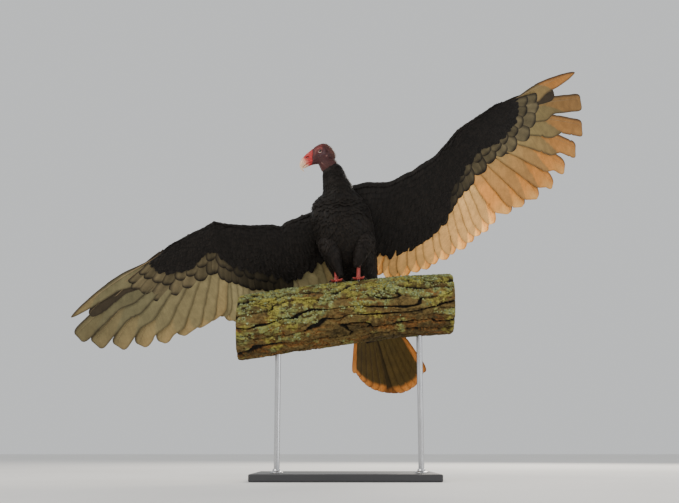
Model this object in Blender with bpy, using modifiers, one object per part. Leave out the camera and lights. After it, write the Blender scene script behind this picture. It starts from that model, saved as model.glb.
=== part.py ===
"""Turkey vulture (Cathartes aura) sunning with open wings on a short perch and a display stand.

A still, life-size model.  The bird is modelled in named pieces: head, bill, eyes, neck, trunk,
tail, five pieces to each wing, thighs and feet, then the perch, two rods and a flat base.

Frame: metres, +Z up.  The bird faces -Y, so its left side is +X.  Z = 0 is the underside of the
stand base.  Nothing moves, so every object keeps its origin at the world origin.
"""

import math
from dataclasses import dataclass

import bmesh
import bpy
import numpy as np
from mathutils import Vector

# ----------------------------------------------------------------- driving dimensions (metres)
GAP = 0.0003                      # thin cut between neighbouring pieces
VANE = 0.0012                     # thickness of the flight-feather sheets
EYE_RADIUS = 0.0062

PERCH_Y = -0.030                  # depth of the perch axis
PERCH_X = (-0.295, -0.120, 0.000, 0.155, 0.298)     # stations along the perch
PERCH_Z = (0.4110, 0.4375, 0.4545, 0.4710, 0.4800)  # height of its axis there
PERCH_R = (0.0900, 0.0900, 0.0872, 0.0855, 0.0840)  # its radius there

BASE_SIZE = (0.50, 0.38, 0.020)   # stand base, width x depth x thickness
BASE_Y = 0.030
BASE_BEVEL = 0.003
ROD_RADIUS = 0.008
ROD_X = (-0.185, 0.205)

HEAD_CENTRE = Vector((-0.0700, -0.0850, 0.9085))    # in the middle of the skull
EYE_PLACE = (0.0055, 0.0158, -0.0050)               # ahead of it, to the side and up
HEAD_YAW, HEAD_PITCH = 6.0, 33.0  # degrees: turned to the camera side, bill lowered
BODY_ROLL = 15.0                  # degrees: the left side is the higher one


# ------------------------------------------------------------------------ scene and materials
def clear_scene():
    """Remove every object of the open file."""
    for old in list(bpy.data.objects):
        bpy.data.objects.remove(old, do_unlink=True)


def new_collection(name, hidden=False):
    """Return a new collection linked to the scene."""
    group = bpy.data.collections.new(name)
    bpy.context.scene.collection.children.link(group)
    group.hide_render = hidden
    return group


def finish_material(name, colour, roughness, metallic=0.0):
    """Return a Principled material."""
    mat = bpy.data.materials.new(name)
    mat.use_nodes = True
    shader = mat.node_tree.nodes["Principled BSDF"]
    shader.inputs["Base Color"].default_value = (*colour, 1.0)
    shader.inputs["Roughness"].default_value = roughness
    shader.inputs["Metallic"].default_value = metallic
    mat.diffuse_color = (*colour, 1.0)
    return mat


# --------------------------------------------------------------------------- mesh building kit
def unit(v):
    """Return v scaled to length one."""
    v = np.asarray(v, float)
    return v / np.linalg.norm(v)


def add_mesh(name, verts, faces, mat, group):
    """Make one object from vertices and faces, with its normals outward."""
    mesh = bpy.data.meshes.new(name)
    mesh.from_pydata([tuple(v) for v in verts], [], faces)
    bm = bmesh.new()
    bm.from_mesh(mesh)
    bmesh.ops.remove_doubles(bm, verts=bm.verts, dist=1e-6)
    bmesh.ops.recalc_face_normals(bm, faces=bm.faces)
    bm.to_mesh(mesh)
    bm.free()
    obj = bpy.data.objects.new(name, mesh)
    obj.data.materials.append(mat)
    group.objects.link(obj)
    return obj


def loft(name, rings, mat, group):
    """Skin a stack of rings, each with the same number of points, and close both ends."""
    n = len(rings[0])
    verts = [p for ring in rings for p in ring]
    faces = []
    for j in range(len(rings) - 1):
        for i in range(n):
            a, b = j * n + i, j * n + (i + 1) % n
            faces.append((a, b, b + n, a + n))
    faces.append(tuple(range(n)))
    faces.append(tuple(range((len(rings) - 1) * n, len(rings) * n)))
    return add_mesh(name, verts, faces, mat, group)


def oval(centre, across, along, count, power=2.0):
    """Ring of points: centre + across*cos + along*sin, squarer as power grows."""
    ring = []
    for i in range(count):
        c, s = math.cos(2 * math.pi * i / count), math.sin(2 * math.pi * i / count)
        c = math.copysign(abs(c) ** (2 / power), c)
        s = math.copysign(abs(s) ** (2 / power), s)
        ring.append(np.asarray(centre) + np.asarray(across) * c + np.asarray(along) * s)
    return ring


def tube(name, points, radii, mat, group, sides=8):
    """Tapered round tube through the points, with closed ends."""
    points = [np.asarray(p, float) for p in points]
    side = unit((1.0, 0.15, 0.1))
    rings = []
    for k, (p, r) in enumerate(zip(points, radii)):
        ahead = points[min(k + 1, len(points) - 1)] - points[max(k - 1, 0)]
        tangent = unit(ahead)
        across = unit(np.cross(tangent, np.cross(side, tangent)))
        rings.append(oval(p, across * r, np.cross(tangent, across) * r, sides))
    return loft(name, rings, mat, group)


def boolean(target, cutter, operation):
    """Apply one exact boolean and leave the result in the target's own mesh."""
    mod = target.modifiers.new(operation.lower(), "BOOLEAN")
    mod.operation, mod.solver, mod.object = operation, "EXACT", cutter
    graph = bpy.context.evaluated_depsgraph_get()
    result = bpy.data.meshes.new_from_object(target.evaluated_get(graph))
    target.modifiers.remove(mod)
    target.data = result


def join_solids(name, pieces, mat):
    """Fuse overlapping closed pieces into the first one, which takes the name."""
    body = pieces[0]
    for other in pieces[1:]:
        boolean(body, other, "UNION")
        bpy.data.objects.remove(other, do_unlink=True)
    body.name = name
    body.data.name = name
    body.data.materials.clear()
    body.data.materials.append(mat)
    return body


# ------------------------------------------------------------------------------ trunk and neck
@dataclass
class Station:
    """One cross-section of the body: centre, half-width, half-depth."""

    at: tuple
    wide: float
    deep: float


TRUNK = (
    Station((-0.0195, -0.0625, 0.7900), 0.0480, 0.0450),
    Station((-0.0180, -0.0540, 0.7720), 0.0690, 0.0580),
    Station((-0.0165, -0.0430, 0.7480), 0.0820, 0.0700),
    Station((-0.0057, -0.0180, 0.6998), 0.0860, 0.0760),
    Station((0.0110, 0.0210, 0.6470), 0.0800, 0.0640),
    Station((0.0330, 0.0690, 0.5850), 0.0650, 0.0480),
    Station((0.0510, 0.1060, 0.5310), 0.0480, 0.0360),
    Station((0.0600, 0.1260, 0.5040), 0.0380, 0.0250),
)
NECK = (
    Station((-0.0600, -0.0830, 0.8840), 0.0205, 0.0190),
    Station((-0.0445, -0.0800, 0.8620), 0.0260, 0.0245),
    Station((-0.0340, -0.0770, 0.8430), 0.0320, 0.0300),
    Station((-0.0290, -0.0735, 0.8260), 0.0355, 0.0345),
    Station((-0.0235, -0.0685, 0.8080), 0.0410, 0.0390),
    Station((-0.0195, -0.0625, 0.7900), 0.0480, 0.0450),
    Station((-0.0185, -0.0590, 0.7820), 0.0480, 0.0450),
)


def body_rings(stations, count, grow=0.0, power=2.0):
    """Rings of the stations, square to the line through their centres."""
    spots = [np.array(s.at) for s in stations]
    roll = math.radians(BODY_ROLL)
    left = np.array([math.cos(roll), 0.0, math.sin(roll)])
    rings = []
    for k, s in enumerate(stations):
        axis = unit(spots[min(k + 1, len(spots) - 1)] - spots[max(k - 1, 0)])
        across = unit(left - axis * np.dot(left, axis))
        depth = np.cross(axis, across)
        past_end = grow * ((k == len(spots) - 1) - (k == 0))
        rings.append(oval(spots[k] + axis * past_end, across * (s.wide + grow), depth * (s.deep + grow),
                          count, power))
    return rings


def make_trunk(mat, group, grow=0.0, name="trunk"):
    """Feathered body from the base of the neck to the root of the tail."""
    return loft(name, body_rings(TRUNK, 22, grow, 2.15), mat, group)


def make_neck(mat, group, head_cutter, trunk_cutter):
    """Neck with its ruff, cut off square by the head and the trunk."""
    neck = loft("neck", body_rings(NECK, 18), mat, group)
    boolean(neck, head_cutter, "DIFFERENCE")
    boolean(neck, trunk_cutter, "DIFFERENCE")
    return neck


# ------------------------------------------------------------------------------------ the head
def head_axes():
    """Return the head's forward, left and up directions."""
    yaw, pitch = math.radians(HEAD_YAW), math.radians(HEAD_PITCH)
    forward = np.array([-math.cos(yaw) * math.cos(pitch), -math.sin(yaw) * math.cos(pitch), -math.sin(pitch)])
    left = unit(np.cross((0.0, 0.0, 1.0), forward))
    return forward, left, np.cross(forward, left)


def head_point(ahead, side, up):
    """World place of a point given along the head's own axes."""
    forward, left, top = head_axes()
    return np.array(HEAD_CENTRE) + forward * ahead + left * side + top * up


# ahead, top, bottom, half-width: the bare head from the nape to the front of the cere
HEAD_PROFILE = (
    (-0.0300, -0.0120, -0.0290, 0.0060),
    (-0.0278, -0.0010, -0.0370, 0.0125),
    (-0.0218, 0.0090, -0.0415, 0.0168),
    (-0.0110, 0.0148, -0.0430, 0.0197),
    (0.0000, 0.0166, -0.0420, 0.0204),
    (0.0100, 0.0163, -0.0390, 0.0193),
    (0.0190, 0.0149, -0.0345, 0.0162),
    (0.0280, 0.0136, -0.0300, 0.0131),
    (0.0370, 0.0120, -0.0262, 0.0109),
    (0.0470, 0.0096, -0.0236, 0.0093),
    (0.0550, 0.0070, -0.0224, 0.0082),
)
# ahead, top, bottom, half-width: upper bill from the cere to the hook, then the lower bill
UPPER_BILL = (
    (0.0553, 0.0067, -0.0150, 0.0077),
    (0.0610, 0.0044, -0.0150, 0.0072),
    (0.0670, 0.0004, -0.0156, 0.0060),
    (0.0718, -0.0050, -0.0170, 0.0047),
    (0.0746, -0.0110, -0.0192, 0.0034),
    (0.0754, -0.0170, -0.0222, 0.0022),
    (0.0743, -0.0236, -0.0254, 0.0009),
)
LOWER_BILL = (
    (0.0553, -0.0156, -0.0220, 0.0066),
    (0.0600, -0.0157, -0.0217, 0.0056),
    (0.0645, -0.0162, -0.0211, 0.0042),
    (0.0680, -0.0172, -0.0202, 0.0022),
)


def profile_rings(profile, count, grow=0.0, power=2.0):
    """Rings of a head profile, each upright across the head."""
    _, left, up = head_axes()
    rings = []
    for ahead, top, bottom, wide in profile:
        centre = head_point(ahead, 0.0, (top + bottom) / 2)
        rings.append(oval(centre, left * (wide + grow), up * ((top - bottom) / 2 + grow), count, power))
    return rings


def make_head(mat, group, grow=0.0, name="head"):
    """Bare head and cere in one loft."""
    return loft(name, profile_rings(HEAD_PROFILE, 16, grow, 2.2), mat, group)


def make_bill(mat, group):
    """Upper bill with its hook, and the lower bill shut under it."""
    loft("bill_upper", profile_rings(UPPER_BILL, 12, 0.0, 2.3), mat, group)
    loft("bill_lower", profile_rings(LOWER_BILL, 10, 0.0, 2.3), mat, group)


def make_eye(side, mat, group, radius=EYE_RADIUS, name=None):
    """Eyeball on one side of the head; side is +1 for the bird's left."""
    bpy.ops.mesh.primitive_uv_sphere_add(segments=12, ring_count=7, radius=radius)
    eye = bpy.context.object
    ahead, out, up = EYE_PLACE
    eye.location = Vector(head_point(ahead, side * out, up))
    eye.name = name or ("eye_left" if side > 0 else "eye_right")
    for old in list(eye.users_collection):
        old.objects.unlink(eye)
    group.objects.link(eye)
    eye.data.materials.append(mat)
    return eye


# ------------------------------------------------------------------------------------ the wings
@dataclass
class WingPose:
    """One wing laid out flat, then bent in depth.

    In the flat layout a runs outward and b runs forward.  Bones are (length, degrees above the
    outward axis).  The layout's forward axis leans back from the vertical by 90 - tilt degrees,
    and the wing bends in depth by the sweep angle, read along a.
    """

    name: str
    side: int                    # +1 for the bird's left wing
    shoulder: tuple
    humerus: tuple
    ulna: tuple
    hand: tuple
    sweep_at: tuple              # distances outward ...
    sweep: tuple                 # ... and the degrees of bend there
    primary_aim: tuple           # degrees above the outward axis, P1 to P10
    primary_length: tuple
    secondary_aim: tuple         # at the elbow, mid forearm and wrist
    curl: float                  # how far each primary turns along its length
    lead: tuple                  # web of skin before the bones: shoulder, mid, elbow, mid, wrist, mid, tip
    grown: float                 # share of the ninth primary that has regrown
    tilt: float = 62.0
    camber: float = 0.22


LEFT_WING = WingPose(
    name="left", side=1, shoulder=(0.0600, -0.0200, 0.7810),
    humerus=(0.140, 17.0), ulna=(0.215, 51.0), hand=(0.150, 37.0),
    sweep_at=(0.0, 0.12, 0.27, 0.40, 0.55, 0.75), sweep=(8.0, 10.0, 14.0, 24.0, 36.0, 44.0),
    primary_aim=(-53.0, -44.5, -35.0, -24.5, -14.0, -3.5, 7.0, 16.0, 22.0, 28.0),
    primary_length=(0.278, 0.288, 0.308, 0.335, 0.355, 0.378, 0.390, 0.385, 0.370, 0.345),
    secondary_aim=(-106.0, -84.0, -62.0), curl=3.0,
    lead=(0.048, 0.038, 0.052, 0.020, 0.013, 0.012, 0.010), grown=0.66)
RIGHT_WING = WingPose(
    name="right", side=-1, shoulder=(-0.0940, -0.0300, 0.7345),
    humerus=(0.140, -50.0), ulna=(0.200, 21.5), hand=(0.150, -30.0),
    sweep_at=(0.0, 0.20, 0.35, 0.70), sweep=(-12.0, -6.0, -2.0, 4.0),
    primary_aim=(-86.0, -82.0, -76.5, -70.0, -63.0, -56.0, -49.0, -42.5, -39.0, -34.5),
    primary_length=(0.285, 0.300, 0.322, 0.348, 0.368, 0.390, 0.410, 0.415, 0.390, 0.360),
    secondary_aim=(-106.0, -98.0, -90.0), curl=-3.0,
    lead=(0.010, 0.045, 0.078, 0.034, 0.008, 0.010, 0.010), grown=0.84)

SECONDARIES = 17
TERTIALS = 5
SECONDARY_LENGTHS = (0.265, 0.280, 0.279, 0.275)     # from the elbow out to the wrist
TERTIAL_LENGTHS = (0.170, 0.255)                     # from the shoulder out to the elbow
TUCK = 0.006                                         # the sheets start this far inside the flesh
FLESH_REACH = (0.100, 0.100, 0.090, 0.085, 0.085, 0.090, 0.090)   # as lead, behind the bones
FLESH_THICK = (0.026, 0.019, 0.016, 0.0125, 0.0105, 0.008, 0.0045)  # half-thickness, as lead


ARM_SPANS = {"upper_arm": (-0.28, 1.0, 7), "forearm": (1.0, 2.0, 6), "hand": (2.0, 2.97, 7)}
ARM_TRIM = 0.0012                                    # half the cut between lengths, as a share of a bone


class Wing:
    """Places the points of one wing, from its flat layout to the world."""

    def __init__(self, pose):
        self.pose = pose
        joints = [np.zeros(2)]
        for length, degrees in (pose.humerus, pose.ulna, pose.hand):
            angle = math.radians(degrees)
            joints.append(joints[-1] + length * np.array([math.cos(angle), math.sin(angle)]))
        self.joints = np.array(joints)
        self.reach = np.linspace(-0.1, 0.9, 401)
        bend = np.radians(np.interp(self.reach, pose.sweep_at, pose.sweep))
        step = np.diff(self.reach, prepend=self.reach[0])
        self.out = np.cumsum(np.cos(bend) * step)
        self.back = np.cumsum(np.sin(bend) * step)
        self.out -= np.interp(0.0, self.reach, self.out)
        self.back -= np.interp(0.0, self.reach, self.back)
        self.bend = bend

    def bone(self, t):
        """Point of the flat layout at t: 0 shoulder, 1 elbow, 2 wrist, 3 tip of the hand; below 0 runs inward."""
        k = min(max(int(t), 0), 2)
        return self.joints[k] + (self.joints[k + 1] - self.joints[k]) * (t - k)

    def place(self, flat, lift=0.0):
        """World point of a flat point, raised by lift off the upper side."""
        pose = self.pose
        a, b = flat
        bend = np.interp(a, self.reach, self.bend)
        lean = math.radians(pose.tilt)
        forward = np.array([0.0, -math.cos(lean), math.sin(lean)])
        outward = np.array([math.cos(bend) * pose.side, math.sin(bend), 0.0])
        upper = unit(np.cross(outward, forward)) * -pose.side
        order = np.argsort(self.joints[:, 0])
        spine = np.interp(a, self.joints[order, 0], self.joints[order, 1])
        lift = lift - pose.camber * max(0.0, spine - b) ** 2
        flat_world = np.array([pose.side * np.interp(a, self.reach, self.out),
                               np.interp(a, self.reach, self.back), 0.0])
        return np.array(pose.shoulder) + flat_world + forward * b + upper * lift


ARM_ROWS = (0.0, 0.60)                               # shares of a feather's length with a row of points
HAND_ROWS = (0.0, 0.25, 0.45, 0.60, 0.70, 0.80)
TIP_ROWS = (0.91, 0.97, 1.0)                         # rows that round the tip
SECONDARY_SPLITS = (0.90,) * (TERTIALS + SECONDARIES)   # where each outer edge leaves its neighbour
SECONDARY_FINGERS = (0.10,) * (TERTIALS + SECONDARIES)  # and how far it then draws in to its shaft
PRIMARY_SPLITS = (0.88, 0.88, 0.86, 0.84, 0.80, 0.74, 0.66, 0.52, 0.52)
SEAM_PULL = 0.05                                     # cut between the first primary and the first secondary
FREE_EDGE = 0.012                                    # half-width of a vane with no neighbour
PRIMARY_FINGERS = (0.10, 0.12, 0.14, 0.18, 0.22, 0.26, 0.30, 0.34, 0.40)


@dataclass
class Quill:
    """One flight feather of the flat layout."""

    root: np.ndarray
    aim: float
    curl: float
    length: float
    station: float               # where it roots, as Wing.bone's t
    full: float = 1.0            # share of the length that is there

    def point(self, s):
        """Point of the shaft at share s of the full length."""
        steps = 12
        angles = np.radians(self.aim + self.curl * (np.linspace(0, 1, steps) - 0.5))
        walk = np.concatenate([[[0.0, 0.0]], np.cumsum(np.stack([np.cos(angles), np.sin(angles)], 1), 0)])
        walk *= self.length / steps
        marks = np.linspace(0, 1, steps + 1)
        return self.root + np.array([np.interp(s, marks, walk[:, 0]), np.interp(s, marks, walk[:, 1])])


def knots(values, t):
    """Read a seven-value list along the arm: t runs 0 to 3 by half steps."""
    return float(np.interp(t, np.linspace(0, 3, 7), values))


def wing_quills(wing):
    """Flight feathers of the arm and of the hand, each ordered from the body outward."""
    pose = wing.pose
    arm, hand = [], []
    for k in range(TERTIALS):
        t = 0.12 + 0.88 * k / TERTIALS
        aim = pose.secondary_aim[0]
        arm.append(Quill(wing.bone(t), aim, -4.0, np.interp(t, (0, 1), TERTIAL_LENGTHS), t))
    for k in range(SECONDARIES):
        t = (k + 0.3) / SECONDARIES
        aim = np.interp(t, (0, 0.5, 1), pose.secondary_aim)
        arm.append(Quill(wing.bone(1 + t), aim, -4.0, np.interp(t, (0, 0.15, 0.6, 1), SECONDARY_LENGTHS), 1 + t))
    for k in range(10):
        t = 2.02 + 0.95 * k / 9
        full = pose.grown if k == 8 else 1.0
        hand.append(Quill(wing.bone(t), pose.primary_aim[k], pose.curl, pose.primary_length[k], t, full))
    return arm, hand


def root_share(quill):
    """Share of the feather at which its sheet starts, a little way inside the flesh."""
    return (knots(FLESH_REACH, quill.station) - TUCK) / quill.length


def fan_edge(inner, outer, q, pull, side):
    """Edge between two neighbouring feathers at share q, pulled in to one feather's shaft.

    side is -1 for the inner feather's own edge and +1 for the outer one's; pull 0 leaves the
    shared edge, and 1 brings it to the shaft.
    """
    start = (root_share(inner) + root_share(outer)) / 2
    s = start + (1 - start) * q
    shared = (inner.point(s) + outer.point(s)) / 2
    shaft = (inner if side < 0 else outer).point(s)
    return shared + (shaft - shared) * pull


def split_pull(q, end, split, finger, tip=0.62):
    """How far an edge has drawn in to its shaft: a finger past the split, then a round tip."""
    slit = finger * min(1.0, max(0.0, (q - split) / 0.12))
    rounded = max(0.0, (end - 0.90) / 0.10) ** 2
    return slit + (tip - slit) * rounded


def feather_fan(name, wing, quills, before, after, rows, splits, fingers, mat, group):
    """Closed thin sheet of one row of flight feathers, split between the tips.

    rows are shares of the length that get a row of points; splits and fingers hold, for each feather, where its outer edge leaves its neighbour's and
    how far it then draws in.  before and after are the feathers past the ends of the row, or None.
    """
    verts, faces = [], []
    for k, quill in enumerate(quills):
        inner = quills[k - 1] if k else before
        outer = quills[k + 1] if k + 1 < len(quills) else after
        base = len(verts)
        own_rows = [q for q in rows if q < 0.86 * quill.full] + [q * quill.full for q in TIP_ROWS]
        for q in own_rows:
            end = q / quill.full
            start = root_share(quill)
            shaft = quill.point(start + (1 - start) * q)
            ahead = shaft - quill.point(start + (1 - start) * q - 0.01)
            side = unit((-ahead[1], ahead[0])) * FREE_EDGE * (1 - split_pull(q, end, 2.0, 0.0))
            low, high = shaft - side, shaft + side
            if inner is not None:
                slit = (splits[k - 1], fingers[k - 1]) if k else (-1.0, SEAM_PULL)
                low = fan_edge(inner, quill, q, split_pull(q, end, *slit), 1)
            if outer is not None:
                slit = (splits[k], fingers[k]) if k + 1 < len(quills) else (-1.0, SEAM_PULL)
                high = fan_edge(quill, outer, q, split_pull(q, end, *slit), -1)
            verts += [wing.place(low), wing.place(shaft), wing.place(high)]
        for j in range(len(own_rows) - 1):
            a = base + 3 * j
            faces += [(a, a + 1, a + 4, a + 3), (a + 1, a + 2, a + 5, a + 4)]
    fan = add_mesh(name, verts, faces, mat, group)
    solid = fan.modifiers.new("vane", "SOLIDIFY")
    solid.thickness, solid.offset = VANE, 0.0
    return fan


def flesh_ring(wing, t, aim, grow=0.0):
    """Closed section of the arm at t, from its leading edge back along the feathers' aim."""
    root = wing.bone(t)
    lead, reach, thick = (knots(v, t) + grow for v in (wing.pose.lead, FLESH_REACH, FLESH_THICK))
    bone = wing.bone(min(t + 0.05, 3.0)) - wing.bone(min(t + 0.05, 3.0) - 0.05)
    straight = unit((-bone[1], bone[0]))
    ahead = unit(straight * max(0.0, t - 1.5) + np.array([0.0, 1.0]) * max(0.0, 2.5 - t))
    front = root + ahead * lead
    angle = math.radians(aim)
    rear = root + np.array([math.cos(angle), math.sin(angle)]) * reach
    ring = []
    for share, height in ((0.0, 0.0), (0.05, 0.42), (0.20, 0.90), (0.45, 1.0), (0.75, 0.5)):
        ring.append((share, height * thick))
    ring.append((1.0, VANE + grow))
    ring.append((1.0, -VANE - grow))
    for share, height in ((0.75, 0.45), (0.45, 0.85), (0.20, 0.80), (0.05, 0.38)):
        ring.append((share, -height * thick))
    return [wing.place(front + (rear - front) * share, height) for share, height in ring]


def feather_aim(wing, t):
    """Direction of the flight feathers rooted at t along the arm."""
    arm, hand = wing_quills(wing)
    quills = arm + hand
    return float(np.interp(t, [q.station for q in quills], [q.aim for q in quills]))


def make_arm(name, wing, spans, mat, group, grow=0.0):
    """Flesh of the arm along spans of (first bone station, last, number of sections)."""
    stops = np.concatenate([np.linspace(first + ARM_TRIM, last - ARM_TRIM, count) for first, last, count in spans])
    return loft(name, [flesh_ring(wing, t, feather_aim(wing, t), grow) for t in stops], mat, group)


def make_wing(pose, skin, vane, group, body_cutters, cutters):
    """All five pieces of one wing."""
    wing = Wing(pose)
    arm, hand = wing_quills(wing)
    upper, _, _ = [make_arm(f"wing_{pose.name}_{part}", wing, (span,), skin, group)
                   for part, span in ARM_SPANS.items()]
    arm_cutter = make_arm(f"cut_arm_{pose.name}", wing, ARM_SPANS.values(), skin, cutters, GAP)
    for cutter in body_cutters:
        boolean(upper, cutter, "DIFFERENCE")
    inner = feather_fan(f"wing_{pose.name}_secondaries", wing, arm, None, hand[0], ARM_ROWS, SECONDARY_SPLITS,
                        SECONDARY_FINGERS, vane, group)
    outer = feather_fan(f"wing_{pose.name}_primaries", wing, hand, arm[-1], None, HAND_ROWS, PRIMARY_SPLITS,
                        PRIMARY_FINGERS, vane, group)
    for fan in (inner, outer):
        apply_modifiers(fan)
        boolean(fan, arm_cutter, "DIFFERENCE")
    boolean(inner, body_cutters[0], "DIFFERENCE")


def apply_modifiers(obj):
    """Freeze an object's modifiers into its mesh."""
    graph = bpy.context.evaluated_depsgraph_get()
    mesh = bpy.data.meshes.new_from_object(obj.evaluated_get(graph))
    obj.modifiers.clear()
    obj.data = mesh


# ------------------------------------------------------------------------------------- the tail
TAIL_ROOT = (0.0608, 0.1270, 0.5024)
TAIL_TIP = (0.1400, 0.2600, 0.2570)
TAIL_LENGTHS = (0.178, 0.210, 0.238, 0.258, 0.273, 0.284,      # bird's right half, outer to middle
                0.293, 0.298, 0.296, 0.290, 0.277, 0.254)      # left half, middle to outer
TAIL_SPREAD = 41.0                # degrees between the outermost shafts
TAIL_START = 0.002                # where the vanes begin below the root
TAIL_ROOT_STEP = 0.0052           # space between neighbouring shafts at the root
TAIL_ARCH = 0.006                 # how far the middle feathers stand behind the outer ones
TAIL_THICK = 0.0016


def tail_point(u, q):
    """Point of the tail at share q of the way down, u feathers left of its middle line."""
    root, tip = np.array(TAIL_ROOT), np.array(TAIL_TIP)
    axis = unit(tip - root)
    roll = math.radians(BODY_ROLL)
    left = np.array([math.cos(roll), 0.0, math.sin(roll)])
    left = unit(left - axis * np.dot(left, axis))
    back = np.cross(left, axis)
    back = back if back[1] > 0 else -back
    middle = (len(TAIL_LENGTHS) - 1) / 2
    length = np.interp(u + middle, range(len(TAIL_LENGTHS)), TAIL_LENGTHS)
    turn = math.radians(u / middle * TAIL_SPREAD / 2)
    arch = TAIL_ARCH * (1 - 3 * (u / middle) ** 2) * (0.3 + q)
    return (root + left * u * TAIL_ROOT_STEP + back * arch
            + (axis * math.cos(turn) + left * math.sin(turn)) * (TAIL_START + (length - TAIL_START) * q))


def make_tail(mat, group):
    """Fanned tail of twelve feathers, as one thin sheet with scalloped tips."""
    rows = (0.0, 0.4, 0.8, 0.91, 0.97, 1.0)
    verts, faces = [], []
    for k in range(len(TAIL_LENGTHS)):
        u = k - (len(TAIL_LENGTHS) - 1) / 2
        base = len(verts)
        for q in rows:
            half = 0.5 * (1 - 0.60 * max(0.0, (q - 0.88) / 0.12) ** 2)
            verts += [tail_point(u - half, q), tail_point(u, q), tail_point(u + half, q)]
        for j in range(len(rows) - 1):
            a = base + 3 * j
            faces += [(a, a + 1, a + 4, a + 3), (a + 1, a + 2, a + 5, a + 4)]
    tail = add_mesh("tail", verts, faces, mat, group)
    solid = tail.modifiers.new("vane", "SOLIDIFY")
    solid.thickness, solid.offset = TAIL_THICK, 0.0
    return tail


# ------------------------------------------------------------------------------- perch and stand
def perch_at(x):
    """Height of the perch axis and its radius at x."""
    return float(np.interp(x, PERCH_X, PERCH_Z)), float(np.interp(x, PERCH_X, PERCH_R))


def make_perch(mat, group, grow=0.0, name="perch"):
    """Cut length of branch: a curve with a round bevel and a radius at each point."""
    curve = bpy.data.curves.new(name, "CURVE")
    curve.dimensions = "3D"
    curve.bevel_depth = 1.0
    curve.bevel_resolution = 5
    curve.use_fill_caps = True
    spline = curve.splines.new("POLY")
    stops = np.linspace(PERCH_X[0] - grow, PERCH_X[-1] + grow, 9)
    spline.points.add(len(stops) - 1)
    for point, x in zip(spline.points, stops):
        z, radius = perch_at(x)
        point.co = (x, PERCH_Y, z, 1.0)
        point.radius = radius + grow
    ghost = bpy.data.objects.new(name + "_curve", curve)
    group.objects.link(ghost)
    graph = bpy.context.evaluated_depsgraph_get()
    mesh = bpy.data.meshes.new_from_object(ghost.evaluated_get(graph))
    bpy.data.objects.remove(ghost, do_unlink=True)
    weld = bmesh.new()
    weld.from_mesh(mesh)
    bmesh.ops.remove_doubles(weld, verts=weld.verts, dist=1e-6)
    bmesh.ops.recalc_face_normals(weld, faces=weld.faces)
    weld.to_mesh(mesh)
    weld.free()
    perch = bpy.data.objects.new(name, mesh)
    mesh.materials.clear()
    mesh.materials.append(mat)
    group.objects.link(perch)
    return perch


def make_stand(base_mat, rod_mat, group, perch_cutter):
    """Flat base and two upright rods that carry the perch."""
    bpy.ops.mesh.primitive_cube_add(size=1.0, location=(0.0, BASE_Y, BASE_SIZE[2] / 2))
    base = bpy.context.object
    base.name = "stand_base"
    base.scale = BASE_SIZE
    bpy.ops.object.transform_apply(location=False, rotation=False, scale=True)
    edge = base.modifiers.new("edge", "BEVEL")
    edge.width, edge.segments = BASE_BEVEL, 2
    base.data.materials.append(base_mat)
    rods = []
    for x, side in zip(ROD_X, ("right", "left")):
        z, _ = perch_at(x)
        height = z - BASE_SIZE[2] - GAP
        bpy.ops.mesh.primitive_cylinder_add(vertices=16, radius=ROD_RADIUS, depth=height,
                                            location=(x, PERCH_Y, BASE_SIZE[2] + GAP + height / 2))
        rod = bpy.context.object
        rod.name = f"stand_rod_{side}"
        rod.data.materials.append(rod_mat)
        rods.append(rod)
    for obj in [base] + rods:
        for old in list(obj.users_collection):
            old.objects.unlink(obj)
        group.objects.link(obj)
    for rod in rods:
        boolean(rod, perch_cutter, "DIFFERENCE")


# -------------------------------------------------------------------------------- legs and feet
@dataclass
class Leg:
    """One leg: where the foot stands on the perch and where the hock is."""

    name: str
    foot_x: float
    foot_y: float
    hock: tuple
    knee: tuple
    lift: float = 0.0056          # from the bark to the middle of the toes


LEGS = (
    Leg("right", -0.0240, -0.0200, (-0.0265, -0.0330, 0.5970), (-0.0440, -0.0400, 0.6450)),
    Leg("left", 0.0370, -0.0200, (0.0385, -0.0330, 0.6070), (0.0530, -0.0380, 0.6550)),
)
# name, length, degrees from straight ahead, radius at the root
TOES = (("inner", 0.040, -24.0, 0.0043), ("middle", 0.056, 0.0, 0.0046),
        ("outer", 0.043, 24.0, 0.0042), ("hind", 0.022, 180.0, 0.0038))
CLAW = 0.013
TARSUS_RADIUS = 0.0058


def bark_point(x, arc, lift):
    """Point at lift above the perch, an arc length forward over it from its crest."""
    z, radius = perch_at(x)
    turn = arc / radius
    return np.array([x, PERCH_Y - (radius + lift) * math.sin(turn), z + (radius + lift) * math.cos(turn)])


def make_foot(leg, mat, group):
    """Bare tarsus and four toes with their claws, fused into one solid."""
    _, radius = perch_at(leg.foot_x)
    arc = (PERCH_Y - leg.foot_y)
    pad = bark_point(leg.foot_x, arc, leg.lift + 0.0030)
    pieces = [tube(f"foot_{leg.name}", [np.array(leg.hock), (np.array(leg.hock) + pad) / 2, pad],
                   (TARSUS_RADIUS * 1.15, TARSUS_RADIUS * 0.85, TARSUS_RADIUS), mat, group, 10)]
    for name, length, turn, thick in TOES:
        ahead, side = math.cos(math.radians(turn)), math.sin(math.radians(turn))
        spots, radii = [], []
        for q in np.linspace(0.0, 1.0, 6):
            far = q * length
            lift = leg.lift + 0.0012 * math.sin(q * 9.0)
            spots.append(bark_point(leg.foot_x + side * far, arc + ahead * far, lift))
            radii.append(thick * (1.0 - 0.25 * q))
        for q, thin in ((0.35, 0.60), (0.75, 0.36), (1.0, 0.16)):
            far = length + q * CLAW
            lift = leg.lift * (1.0 + 0.25 * math.sin(q * 3.1)) - 0.0018 * q
            spots.append(bark_point(leg.foot_x + side * far, arc + ahead * far, lift))
            radii.append(thick * thin)
        pieces.append(tube(f"toe_{name}", spots, radii, mat, group, 6))
    return join_solids(f"foot_{leg.name}", pieces, mat)


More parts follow.
